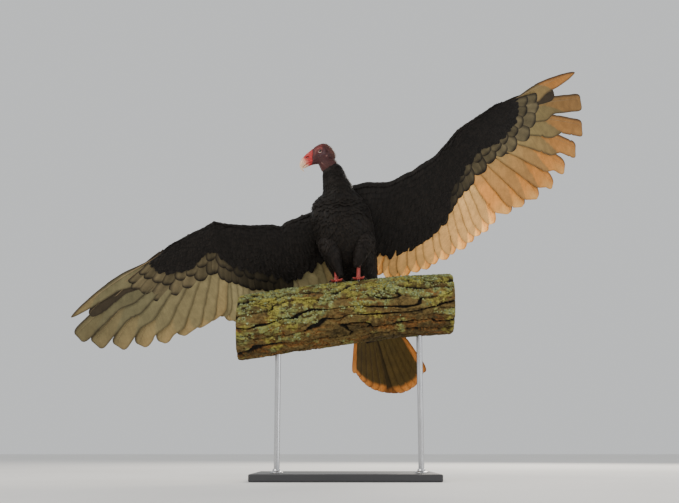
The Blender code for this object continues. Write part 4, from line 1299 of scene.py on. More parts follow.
    def dress(self, plumage: Finished, flight: Finished) -> None:
        """Build the wing's pieces, with the coverts' finish and the flight feathers'."""
        name, pose = self.pose.name, self.pose
        for part, plumes, seed in (("primaries", self.primaries(), 3), ("secondaries", self.arm_plumes(), 7)):
            FlightRow(self.chart, plumes, pose.dye, seed + pose.side).build().show(
                f"{part}_{name}", flight, "flight_feathers", f"wing_{name}_{part}")
        black = Dye((0.008, 0.0064, 0.0052), (0.175, 0.135, 0.07), (0.013, 0.01, 0.008), (0.022, 0.017, 0.01))
        brown = Dye((0.021, 0.016, 0.013), (0.045, 0.033, 0.025), (0.052, 0.036, 0.025), (0.07, 0.05, 0.036))
        grey = Dye((0.01, 0.008, 0.006), (0.155, 0.122, 0.063), (0.008, 0.006, 0.005), (0.014, 0.01, 0.007),
                   0.84)
        for kind, dye, row in (("under", black, (Lie.UNDER, 17, 1.0, 0.066, 11)),
                               ("upper", brown, (Lie.UPPER, 15, 0.82, 0.062, 12))):
            lay_tract(self.sides[row[0]], self.covert_rows(*row), dye, VaneGrid(6, 3)).show(
                f"{kind}_coverts_{name}", plumage, "body_feathers")
        rows = ((Lie.UNDER, 1.0, 2.0, 2.88, 0.052, 8, -0.004, 1.0),
                (Lie.UNDER, 1.0, 1.02, 1.98, 0.036, 13, -0.004, 0.85),
                (Lie.UNDER, 0.42, 1.2, 2.84, 0.042, 15, -0.0028, 0.85),
                (Lie.UPPER, 0.55, 0.0, 2.0, 0.034, 24, 0.0002, 0.5),
                (Lie.UPPER, 0.55, 2.0, 2.95, 0.032, 13, 0.0002, 0.5),
                (Lie.UPPER, 0.15, 0.0, 2.9, 0.028, 44, 0.0014, 0.3))
        long, k = VaneGrid(14, 5), arange(4.0)
        greater = merge([lay_tract(self.sides[row[0]], self.greater(*row, 21 + number),
                                   grey if row[0] is Lie.UNDER else brown, long, 0.0008)
                         for number, row in enumerate(rows)])
        alula = Tract(0.01 + 0.004 * k, 2.1 + 0.05 * k, 0.098 - 0.015 * k, 0.022, 1.4 - 0.05 * k,
                      0.0015 + 0.0006 * k, 0.003, 0.1, 0.7, 0.0)
        alula = lay_tract(self.sides[Lie.UPPER], alula, brown, long, 0.001)
        alula.show(f"alula_{name}", plumage, "flight_feathers")
        greater.show(f"greater_coverts_{name}", plumage, "flight_feathers")


# -------------------- body
# centre, half-width, half-depth from the top of the neck to over the root of the tail
NECK_STATIONS = (
    ((-0.06, -0.083, 0.884), 0.0205, 0.019), ((-0.0445, -0.08, 0.862), 0.026, 0.0245),
    ((-0.034, -0.077, 0.843), 0.032, 0.03), ((-0.029, -0.0735, 0.826), 0.0355, 0.0345),
    ((-0.0235, -0.0685, 0.808), 0.041, 0.039))
TRUNK_STATIONS = (
    ((-0.0195, -0.0625, 0.79), 0.048, 0.045), ((-0.018, -0.054, 0.772), 0.069, 0.058),
    ((-0.0165, -0.043, 0.748), 0.082, 0.07), ((-0.0057, -0.018, 0.6998), 0.086, 0.076),
    ((0.011, 0.021, 0.647), 0.08, 0.064), ((0.033, 0.069, 0.585), 0.065, 0.048),
    ((0.051, 0.106, 0.531), 0.048, 0.036), ((0.06, 0.126, 0.504), 0.038, 0.025))
TAIL_ROOT = array((0.0608, 0.127, 0.5024))
TAIL_TIP = array((0.14, 0.26, 0.257))
BODY_LEFT = (cos(ROLL), 0.0, sin(ROLL))


@dataclass
class Body:
    """Neck, trunk and the feathers on them."""

    coat: float = 0.008           # depth of the coat on the trunk
    neck_coat: float = 0.0045
    bare_from: float = 0.027      # metres down the neck where the ruff begins

    def __post_init__(self) -> None:
        """Make the chart, run on a little way over the tail's root."""
        axis = unit(TAIL_TIP - TAIL_ROOT)
        over = ((TAIL_ROOT + axis * 0.055, 0.04, 0.013), (TAIL_ROOT + axis * 0.12, 0.044, 0.007))
        self.chart = TubeChart(NECK_STATIONS + TRUNK_STATIONS + over, BODY_LEFT)
        self.end = float(self.chart.at[len(NECK_STATIONS) + len(TRUNK_STATIONS) - 1])

    def depth(self, u: Array) -> Array:
        """Depth of the coat at u, thin at the top of the neck."""
        return self.neck_coat + (self.coat - self.neck_coat) * ease(u, 0.08, 0.14)

    def skin(self) -> Cloth:
        """Closed shell of neck and trunk, inside the coat."""
        u = linspace(0.046, self.end, 90)
        lift = -self.depth(u) - 0.002 * ease(0.06 - u, 0.0, 0.008)
        return tube_cloth(self.chart.rings(u, 48, lift[:, None]))

    def rows(self, low: float, high: float, sizes: tuple, seed: int) -> Tract:
        """Rings of feathers down the body, each offset by half a feather and scattered.

        Args:
            low: where the first row's roots lie.
            high: where the last row's roots lie.
            sizes: stations of (u, pitch of the rows, feather length, feather width).
            seed: of the scatter.

        Returns:
            The tract.
        """
        dice, parts, u, turn = chance(seed), [], low, linspace(0, 2 * pi, 64)
        at, *table = array(sizes).T
        while u < high:
            pitch, size, wide = (interp(u, at, column) for column in table)
            around, deep = walked(self.chart.surface(np.full(64, u), turn)), self.depth(u)
            count = max(8, int(around[-1] / (0.54 * wide)))
            near = scatter(dice, count)
            feathers = Tract(near(u, 0.42 * pitch), 0.0, size * near(1, 0.12), wide * near(1, 0.12),
                             near(0, 0.13), -0.8 * deep, deep * near(0.86, 0.12), 0.0, 0.0, 0.0)
            place = (arange(count) + 0.5 * (len(parts) % 2) + near(0, 0.2)) / count % 1.0
            feathers.v = interp(place * around[-1], around, turn)
            feathers.roll, feathers.tone = near(0, 0.1), near(1.025, 0.325)
            parts.append(feathers)
            u += pitch
        return Tract.join(parts)

    def dress(self, plumage: Finished) -> None:
        """Build the neck ruff, the breast and back, and the coverts of the tail."""
        pale, pale_rim = (0.03, 0.02, 0.015), (0.05, 0.035, 0.025)
        black = Dye((0.0075, 0.0062, 0.0055), pale, (0.016, 0.012, 0.009), pale_rim)
        brown = Dye((0.014, 0.011, 0.009), pale, (0.036, 0.025, 0.018), pale_rim)
        sizes = ((0.027, 0.0034, 0.0125, 0.0056), (0.06, 0.0042, 0.0175, 0.0082), (0.1, 0.006, 0.026, 0.013),
                 (0.15, 0.008, 0.035, 0.018), (0.38, 0.01, 0.045, 0.022))
        coat = self.rows(self.bare_from, self.end - 0.004, sizes, 41)
        neck, front = coat.u < 0.1, sin(coat.v) > 0
        for name, keep, dye, rows, blunt in (("ruff", neck, black, 6, 0.3),
                                             ("breast_feathers", ~neck & front, black, 7, 0.5),
                                             ("back_feathers", ~neck & ~front, brown, 7, 0.5)):
            lay_tract(self.chart, coat.each(lambda x: x[keep]), dye, VaneGrid(rows, 3), 0.00045, blunt).show(
                name, plumage, "body_feathers")
        long = ((0.0, 0.011, 0.07, 0.026), (0.6, 0.016, 0.095, 0.03))
        tail = self.rows(self.end - 0.03, self.end + 0.055, long, 43)
        tail.base, tail.rise, tail.kind = -0.002, 0.002, ease(-sin(tail.v), -0.2, 0.2)
        both = Dye(black.dark, (0.021, 0.016, 0.013), black.dark_rim, (0.052, 0.036, 0.025))
        tail = lay_tract(self.chart, tail, both, VaneGrid(10, 5), 0.0006)
        tail.show("tail_coverts", plumage, "body_feathers")


# -------------------- tail
TAIL_LENGTHS = (0.2, 0.228, 0.252, 0.271, 0.285, 0.296, 0.304, 0.309, 0.306, 0.298, 0.284, 0.262)


class TailChart(Chart):
    """The fan of the tail, read in metres: u across, at a step for each feather, v up the tail.

    With f = feathers left of the middle and d the share of the way down, a point is root +
    left f root_step + back arch (1 - 3 (2f/n)^2)(0.3 + d) + (axis cos a + left sin a) length d,
    where a grows with f to half the spread.
    """

    step, length = 0.02, 0.285
    spread, start, root_step, arch = 34.0, 0.002, 0.0056, 0.006

    def __init__(self) -> None:
        """Work out the tail's own axes."""
        self.root = TAIL_ROOT + array([0.009, 0.0, 0.0])
        self.axis = unit(TAIL_TIP - self.root)
        self.left = unit(BODY_LEFT - self.axis * np.dot(BODY_LEFT, self.axis))
        back = cross(self.left, self.axis)
        self.back = back if back[1] > 0 else -back

    def place(self, u: Array, v: Array, lift: Array) -> Array:
        """World points raised by lift off the upper, back side."""
        feather, down = u / self.step, -v / self.length
        middle = (len(TAIL_LENGTHS) - 1) / 2
        length = curve(feather + middle, arange(len(TAIL_LENGTHS)), TAIL_LENGTHS)
        turn = radians(feather / middle * self.spread / 2)
        arch = self.arch * (1 - 3 * (feather / middle) ** 2) * (0.3 + down)
        run = self.axis * cos(turn)[..., None] + self.left * sin(turn)[..., None]
        far = self.start + (length - self.start) * down
        return (self.root + self.left * (feather * self.root_step)[..., None]
                + self.back * (arch + lift)[..., None] + run * far[..., None])


@dataclass
class Tail:
    """Twelve tail feathers."""

    half: float = 0.025
    # below, the tail's warm colours, its rim and its tips are painted backlight glow
    dye: FlightDye = FlightDye(
        double=(0.086, 0.053, 0.012), single=(0.62, 0.215, 0.04), root=(0.095, 0.066, 0.018),
        rim=(0.76, 0.33, 0.08), lead=(0.035, 0.018, 0.008), shaft_under=(0.13, 0.09, 0.04), tip=1.0)

    def dress(self, flight: Finished) -> None:
        """Build the fan; the outer feathers lie nearest the under side."""
        s = feather_rows()
        inner = self.half * ((1.25 - 0.35 * s) * tip_shape(s, 0.86, 2.4))
        for name, start in (("right", 0), ("left", 6)):
            plumes = []
            for k in range(start, start + 6):
                off = k - 5.5
                line = stack([np.full(len(s), off * TailChart.step), -TailChart.length * s * 0.998], 1)
                lead, trail = (inner.copy(), inner * 0.8) if k < 6 else (inner * 0.8, inner.copy())
                # the middle pair lies on top, behind the others as seen from below: painted shade and no
                # painted glow
                tone, glow = (0.45, 0.0) if abs(off) < 1 else (1.0, 0.95)
                plumes.append(Plume(line, lead, trail, 0.2, 0.0, tone, glow, outline=0.25,
                                    level=-0.0011 * abs(off)))
            FlightRow(TailChart(), plumes, self.dye, 20 + start).build().show(
                f"tail_feathers_{name}", flight, "flight_feathers", "tail")


# -------------------- head
MM = 0.001
EYE_AHEAD, EYE_OUT, EYE_UP = 5.5, 15.8, -5.0     # millimetres along the head's axes


class HeadFrame:
    """The head's own axes: ahead along the bill, side to the bird's left, and up."""

    centre = array((-0.07, -0.085, 0.9085))
    yaw, pitch = radians(6.0), radians(33.0)

    def __init__(self) -> None:
        """Work out the three directions."""
        level = cos(self.pitch)
        self.ahead = -array([cos(self.yaw) * level, sin(self.yaw) * level, sin(self.pitch)])
        self.side = unit(cross((0.0, 0.0, 1.0), self.ahead))
        self.up = cross(self.ahead, self.side)
        self.turn = stack([self.ahead, self.side, self.up])

    def world(self, local: Array) -> Array:
        """World points of (ahead, side, up) points given in metres."""
        return self.centre + np.asarray(local) @ self.turn

    def local(self, world: Array) -> Array:
        """(ahead, side, up) of world points, in millimetres."""
        return (world - self.centre) @ self.turn.T / MM

    def ovals(self, profile: tuple, rows: int, around: int, grow: float = 0.0, power: float = 2.2) -> Array:
        """Smooth rings through a profile of (ahead, top, bottom, half-width, lean) in millimetres.

        Each ring stands across the head: side = w cos a, up = middle + h sin a, squared off by
        the power, and ahead = ahead + lean sin a.
        """
        profile = array(profile) / 1000
        mark = walked(profile)
        ahead, top, bottom, wide, lean = curve(linspace(0, mark[-1], rows), mark, profile).T[:, :, None]
        c, s = squared(angles(around)[None], power)
        high = (top - bottom) / 2 + grow
        return self.world(stack([ahead + lean * s, (wide + grow) * c, (top + bottom) / 2 + high * s], -1))


# ahead, top, bottom, half-width and lean of each ring, in millimetres
HEAD_PROFILE = (
    (-30, -12, -29, 6, 0), (-27.8, -1, -37, 12.5, 0), (-21.8, 9, -41.5, 16.8, 0),
    (-11, 14.8, -43, 19.7, 0), (0, 16.6, -42, 20.4, 0), (10, 16.3, -39, 19.3, 0),
    (19, 14.9, -34.5, 16.2, 0), (28, 13.6, -30, 13.1, 0), (37, 12, -26.2, 10.9, 0),
    (47, 9.6, -23.6, 9.3, 0), (55, 7, -22.4, 8.2, 0))
UPPER_BILL = (
    (52, 7, -14.8, 7, 0), (55.5, 7.2, -15, 8.2, 0), (60, 5.2, -15, 7.6, 0.6), (65.2, 1, -15.6, 6.4, 1.6),
    (69.5, -4.5, -17, 5.1, 2.6), (72.4, -10.5, -18.8, 3.9, 2.8), (73.6, -17, -21.8, 2.9, 2.5),
    (73.5, -22.5, -25.2, 2, 1.8), (73, -26.8, -27.8, 1.1, 1), (72.6, -28.8, -29, 0.4, 0.3))
LOWER_BILL = (
    (52, -15.2, -21.6, 6, 0), (55.5, -15.6, -22.1, 6.8, 0), (60, -15.7, -21.7, 5.7, 0),
    (64.5, -16.2, -21.1, 4.2, 0), (67.6, -17.2, -20.2, 2, 0))


def wrinkles(phase: Array, pitch: float, low: float) -> Array:
    """Share of crease on folds a pitch apart: 1 where the sine of the phase is 0."""
    return ease(1 - abs(sin(phase * pi / pitch)), low, 1.0)


class FacePlaces:
    """What the folds and the dye both read at head places in millimetres."""

    def __init__(self, h: Array) -> None:
        """Work out the distance from the eye, the flanks and the neck's creases."""
        self.h = h
        self.a, self.u = h[..., 0], h[..., 2]
        self.eye = sqrt((self.a - EYE_AHEAD) ** 2 + (1.1 * (self.u - EYE_UP)) ** 2)
        self.flank = ease(abs(h[..., 1]), 8.0, 14.0)
        self.wander = fractal(h * 0.09, 3, 3)
        spots = ease(noise(h * 0.62, 9), 0.25, 0.8) * ease(noise(h * 0.15, 4), -0.2, 0.3)
        self.warts = spots * clip(self.spot(17.5, 5, -4, 6) + 0.8 * self.spot(6.5, 10, -16, 3), 0, 1)

    def spot(self, ahead: float, long: float, up: float, tall: float) -> Array:
        """Oval spot, 1 at its middle."""
        return bell(self.a, ahead, long) * bell(self.u, up, tall)

    def neck_creases(self, low: float) -> Array:
        """Creases round the neck."""
        return wrinkles(self.u + 0.25 * self.a + 3.0 * self.wander, 4.6, low)


@dataclass
class Head:
    """Bare head: skin with folds, lids, ears and an open nostril, then eyes, bill and bristles."""

    voxel: float = 0.00082
    eye_radius: float = 0.0062
    nostril: Numbers = (0.0435, 0.0005, 0.0054, 0.0021)   # ahead, up, half-length, half-height
    bristles: int = 2600

    def __post_init__(self) -> None:
        """Make the head's frame."""
        self.frame = HeadFrame()

    def folds(self, at: FacePlaces) -> Array:
        """How far the skin stands out, in metres: a sum of smooth bumps and grooves."""
        a, u, flank = at.a, at.u, at.flank
        line = u + 15.2 + 0.1 * (55 - a) + 0.0015 * (55 - a) ** 2
        ear = sqrt((a + 11.5) ** 2 + ((u + 15.5) / 1.25) ** 2)
        nape = ease(-a, 6, 18) * ease(10 - u, 0, 8)
        return MM * (
            flank * (1.7 * at.spot(9.5, 9, 6.5, 3.6)                                 # brow
                     - 2.6 * np.exp(-(at.eye / 5.6) ** 4)                            # socket
                     + 1.0 * bell(at.eye, 12.5, 2.4) * ease(EYE_UP - u, -8, 4)       # fold below the eye
                     + 1.4 * at.spot(6, 12, -26, 6)                                  # cheek
                     - 0.9 * at.spot(-6, 5, -33, 4)                                  # behind the jaw
                     - 2.4 * bell(ear, 0, 2.6) + 0.9 * bell(ear, 4.4, 1.3)           # ear and its rim
                     - 0.75 * wrinkles(at.eye + 2.4 * at.wander, 4.2, 0.5) * ease(-u, 14, 20)
                     * ease(34 - a, 0, 8) * (1 - nape) + 0.8 * at.warts)
            + 0.9 * at.spot(40, 7, 6, 6)                                             # over the nostril
            - 1.1 * bell(a + 0.7 * u, 24.6, 2.4) * ease(u, -20, -10)                 # behind the cere
            - 1.0 * bell(line, 0, 0.75) * ease(a, 17, 24)                            # gape
            + 0.5 * bell(line, 2.0, 1.3) * ease(a, 18, 26)
            - 0.55 * wrinkles(a + 0.16 * u + 2.2 * at.wander, 3.4, 0.55) * ease(u, 4, 12) * ease(22 - a, 0, 8)
            - 0.75 * wrinkles(u * 0.9 - a * 0.35 + 2.6 * at.wander, 4.0, 0.5) * nape
            - 1.1 * at.neck_creases(0.35) * ease(-u, 38, 46)
            + 0.16 * fractal(at.h * 0.5, 2, 6) * ease(28 - a, -6, 6))

    def dye(self, at: FacePlaces) -> Array:
        """Colour of the bare skin, tint over tint, with painted shade over the lower face and in grooves and
        creases, and a painted highlight.
        """
        a, u, flank = at.a, at.u, at.flank
        slow, fine = fractal(at.h * 0.1, 3, 12), fractal(at.h * 0.45, 2, 14)
        edge = a + 0.7 * u - 25.5 + 5.0 * slow + 1.2 * fine
        front, neck, pink = ease(edge, -2.0, 5.0), ease(-u, 36, 46), (0.62, 0.165, 0.13)
        streak = abs(a - 20 - 0.222 * (u + 32)) + 8 * (1 - ease(-u, 28, 34))
        colour = layered(
            # dark maroon ground under the lighter crown: partly the skin's own red, partly painted shade over
            # the lower face
            (0.056, 0.01, 0.01),
            ((0.15, 0.022, 0.018), ease(u + 3 * slow + 0.25 * a, -6, 6)),                  # crown
            ((0.12, 0.03, 0.02), ease(-a, 8, 22) * 0.7),
            # darker band along the groove behind the cere: painted shade in the groove
            ((0.04, 0.009, 0.009), bell(edge, -1.0, 3.2) * ease(u, -24, -12) * 0.8),
            ((0.48, 0.019, 0.02), front),                                                  # cere
            (pink, front * ease(fine + 0.6 * slow, 0.0, 0.7) * 0.3),
            (pink, at.spot(37, 6, 9.0, 3.0) * 0.7),
            # pale pink patch at the cere's lower front by the bill: painted highlight
            ((0.8, 0.26, 0.19), at.spot(53, 5, -8, 8) * 0.85),
            ((0.066, 0.022, 0.032), bell(at.eye, 13, 2.8) * ease(EYE_UP - u, 2, 8) * flank * 0.7),
            ((0.5, 0.125, 0.11), bell(at.eye, 9.6, 2.3) * ease(u - EYE_UP, 1, 7) * flank * 0.6),
            ((0.56, 0.4, 0.35), at.warts * flank * 0.6),
            ((0.4, 0.2, 0.17), at.spot(-2.4, 2.4, -26.2, 1.6) * flank * 0.7),
            ((0.42, 0.22, 0.18), bell(streak, 0, 0.9) * flank * 0.6),
            ((0.09, 0.021, 0.017), neck * 0.8),
            # darker in the neck's creases: painted shade
            ((0.035, 0.008, 0.008), neck * at.neck_creases(0.5) * 0.7))
        return clip(colour * (1 + 0.14 * fine)[..., None], 0.002, 1)

    def skin(self, neck: TubeChart) -> Cloth:
        """Fused skin of head and bare upper neck, with its folds raised along the normals."""
        head, down = tube_cloth(self.frame.ovals(HEAD_PROFILE, 40, 48, -0.0003)), linspace(-0.01, 0.06, 24)
        stub = tube_cloth(neck.rings(down, 40, (-0.0003 - 0.0042 * ease(down, 0.022, 0.034))[:, None]))
        ahead, up, half, tall = self.nostril
        w = angles(24)
        ring = stack([half * cos(w), 0 * w, tall * sin(w) + 0.18 * half * cos(w)], 1)
        bore = array([-0.03, 0.03])[:, None, None] * (0.0, 1.0, 0.0) + ring + (ahead, 0.0, up)
        bore = tube_cloth(self.frame.world(bore))
        verts, quads = fused(merge([head, stub]), "head_skin", self.voxel, (bore,), 30)
        at = FacePlaces(self.frame.local(verts))
        verts = verts + point_normals(verts, quads) * (self.folds(at) * ease(at.u, -66, -58))[:, None]
        return painted(Cloth(verts, [quads]), self.dye(at))

    def lids(self, side: int) -> Cloth:
        """Ring of eyelids: from its edge on the eyeball, over a thick rim, out into the face.

        At angle w round the eye and share q outward, the distance from the eye's axis grows from
        the opening (narrower above and below) to 10 mm, and the height follows a profile with a
        rolled rim and two soft folds.
        """
        w, q = angles(72)[:, None], linspace(0, 1, 22)[None]
        opening = 4.5 - 0.75 * abs(sin(w)) ** 1.5 - 0.25 * sin(w)
        far = opening + (10.6 + 0.9 * cos(w - 0.4) - opening) * q ** 1.2
        ball = sqrt(clip((self.eye_radius / MM + 0.25) ** 2 - far ** 2, 0.3, None))
        rim = 0.9 * bell(q, 0.17, 0.1) * (1 + 0.35 * sin(w))
        fold = 0.42 * cos((q - 0.4) * 21 + 0.7 * sin(3 * w)) * ease(q, 0.28, 0.4) * ease(1 - q, 0, 0.3)
        base = maximum(np.where(far < 5.6, ball, 0.0), 4.2 - 0.06 * maximum(far - 5.0, 0) ** 1.9)
        height = base + rim + fold - 2.2 * ease(q, 0.8, 1.0)
        outer, inner = (
            stack([EYE_AHEAD + 0.3 + far * cos(w) * near, side * (EYE_OUT + height - deep),
                   EYE_UP + far * sin(w) * 0.94 * near], -1) for near, deep in ((1, 0), (0.9, 2.2)))
        shell = concatenate([outer, inner[:, ::-1]], axis=1) * MM
        rows, cols = shell.shape[:2]
        quads = grid_faces(cols + 1, rows) % (cols * rows)
        verts = self.frame.world(shell.transpose(1, 0, 2)).reshape(-1, 3)
        if volume(verts, quads) < 0:
            quads = quads[:, ::-1]
        crescent, pink = ease(cos(w + 1.0), 0.15, 0.8), (0.46, 0.13, 0.11)
        shade = layered((0.24, 0.075, 0.065),
                        ((0.105, 0.022, 0.021), ease(q + 0 * w, 0.15, 0.35)),
                        ((0.72, 0.62, 0.55), bell(q, 0.24, 0.13) * crescent * 0.9),
                        (pink, bell(q, 0.66, 0.09) * ease(cos(w - 2.0), 0.25, 0.85) * 0.85),
                        (pink, bell(q, 0.22, 0.07) * (1 - crescent) * 0.6))
        # the lid's inner side, tucked against the eyeball, is near black: painted shade
        both = concatenate([shade, np.full_like(shade, 0.02)], axis=1)
        return painted(Cloth(verts, [quads]), both.transpose(1, 0, 2))

    def eye(self, side: int) -> Cloth:
        """Eyeball round the eye's own axis, with a raised cornea, dark iris and black pupil."""
        p, w = np.meshgrid(linspace(0.02, pi - 0.02, 40), angles(48), indexing="ij")
        r = self.eye_radius * (1 + 0.05 * bell(p, 0, 0.55))
        ball = stack([r * sin(p) * cos(w), side * r * cos(p), r * sin(p) * sin(w)], -1)
        ball = ball + array((EYE_AHEAD, side * EYE_OUT, EYE_UP)) * MM
        return painted(tube_cloth(self.frame.world(ball)), layered(
            (0.002, 0.002, 0.002), ((0.05, 0.018, 0.008), ease(p, 0.3, 0.36)),
            ((0.012, 0.006, 0.005), ease(p, 0.62, 0.8))))

    def bill(self, profile: tuple, edge_tone: float) -> Cloth:
        """One half of the bill, lofted through its profile and drawn in to a cutting edge."""
        rings = self.frame.ovals(profile, 44, 40, 0.0, 2.3)
        h = self.frame.local(rings)
        a, u = h[..., 0], h[..., 2]
        shade = layered((0.8, 0.52, 0.32), ((0.76, 0.3, 0.2), ease(61 - a, -4, 6)),
                        ((0.62, 0.4, 0.26), ease(-u, 14, 22) * 0.4),
                        ((0.84, 0.68, 0.5), ease(a, 68, 76) * 0.6),
                        ((0.2, 0.1, 0.08), bell(u, -15.3, 0.6) * ease(72 - a, 0, 4) * edge_tone))
        lines = fractal(h * (0.25, 1.1, 1.1), 3, 31)
        return painted(tube_cloth(rings), shade * (1 + 0.12 * lines)[..., None])

    def fuzz(self, skin: Cloth) -> Cloth:
        """Short bristles over the nape, crown and cheeks: three-sided spikes that lie back, paler toward the
        nape as painted rim light.

        A spike is a ring of three points at its root that narrows over two bent steps to a point.
        """
        dice, count = chance(77), self.bristles
        h = self.frame.local(skin.verts)
        a, u = h[:, 0], h[:, 2]
        want = (ease(-a, -6, 20) + 0.2 * ease(u, 6, 14) + 0.5 * ease(-u, 22, 40)) * ease(22 - a, 0, 4)
        want = want * ease(u, -64, -58) * ((a - EYE_AHEAD) ** 2 + (u - EYE_UP) ** 2 > 14 ** 2)
        pick = dice.choice(len(h), size=count, replace=False, p=want / want.sum())
        root, normal = skin.verts[pick], point_normals(skin.verts, skin.polygons[0])[pick]
        back = unit(-self.frame.ahead * 0.7 - self.frame.up * 0.7 + dice.normal(0, 0.25, (count, 3)))
        back = unit(back - normal * (back * normal).sum(1, keepdims=True))
        length = dice.uniform(0.0022, 0.0052, count)[:, None]
        side, rings = cross(back, normal) * 0.00013, []
        for s, thin in ((0.0, 1.0), (0.5, 0.7), (1.0, 0.12)):
            centre = root + back * length * s * 0.8 + normal * (length * (0.55 + 0.15 * s) * s - 0.0004)
            rings += [centre + (side * cos(w) + normal * sin(w) * 0.00013) * thin for w in (0, 2.094, 4.189)]
        # paler toward the nape: painted rim light where backlight catches the bristles
        pale = ease(-a[pick], 12, 26) * dice.uniform(0.3, 1.0, count)
        shade = extend(mix((0.03, 0.02, 0.016), (0.3, 0.2, 0.13), pale))[:, None, None]
        place = stack([a[pick] + 40, u[pick] + 50], 1)[:, None] / 100 + linspace(0, PATCH, 9)[:, None]
        corners = (grid_faces(3, 3), array([[2, 1, 0], [6, 7, 8]]))
        return flock(stack(rings, 1), 3, 3, {
            UV_NAME: [place[:, c] for c in corners],
            "dye": [np.broadcast_to(shade, (count,) + c.shape + (4,)) for c in corners],
            "vane": [zeros((count,) + c.shape + (3,)) for c in corners]})

    def dress(self, face: Cloth, skin: Finished, eye: Finished, horn: Finished, plumage: Finished) -> None:
        """Build the eyes and lids, the bill and the bristles on the face's skin."""
        for side, name in ((1, "left"), (-1, "right")):
            self.eye(side).show(f"eyeball_{name}", eye, "eye", f"eye_{name}")
            self.lids(side).show(f"eyelids_{name}", skin, "bare_skin")
        self.bill(UPPER_BILL, 0.8).show("bill_upper_horn", horn, "bill_horn", "bill_upper")
        self.bill(LOWER_BILL, 0.6).show("bill_lower_horn", horn, "bill_horn", "bill_lower")
        self.fuzz(face).show("head_bristles", plumage, "bare_skin")


# -------------------- legs
PERCH_Y = -0.03
PERCH_X = (-0.295, -0.12, 0.0, 0.155, 0.298)
PERCH_Z = (0.411, 0.4375, 0.4545, 0.471, 0.48)
PERCH_R = (0.09, 0.09, 0.0872, 0.0855, 0.084)


def perch_axis(x: Array) -> tuple[Array, Array]:
    """Height of the perch's middle line and its radius."""
    return interp(x, PERCH_X, PERCH_Z), interp(x, PERCH_X, PERCH_R)


def round_perch(x: Array, turn: Array, lift: Array) -> Array:
    """Point at lift above the perch, turned forward over it from its crest."""
    z, radius = perch_axis(x)
    return stack([x + 0 * turn, PERCH_Y - (radius + lift) * sin(turn), z + (radius + lift) * cos(turn)], -1)


def bark_point(x: Array, arc: Array, lift: Array) -> Array:
    """Point at lift above the perch, an arc length forward over it from its crest."""
    return round_perch(x, arc / perch_axis(x)[1], lift)


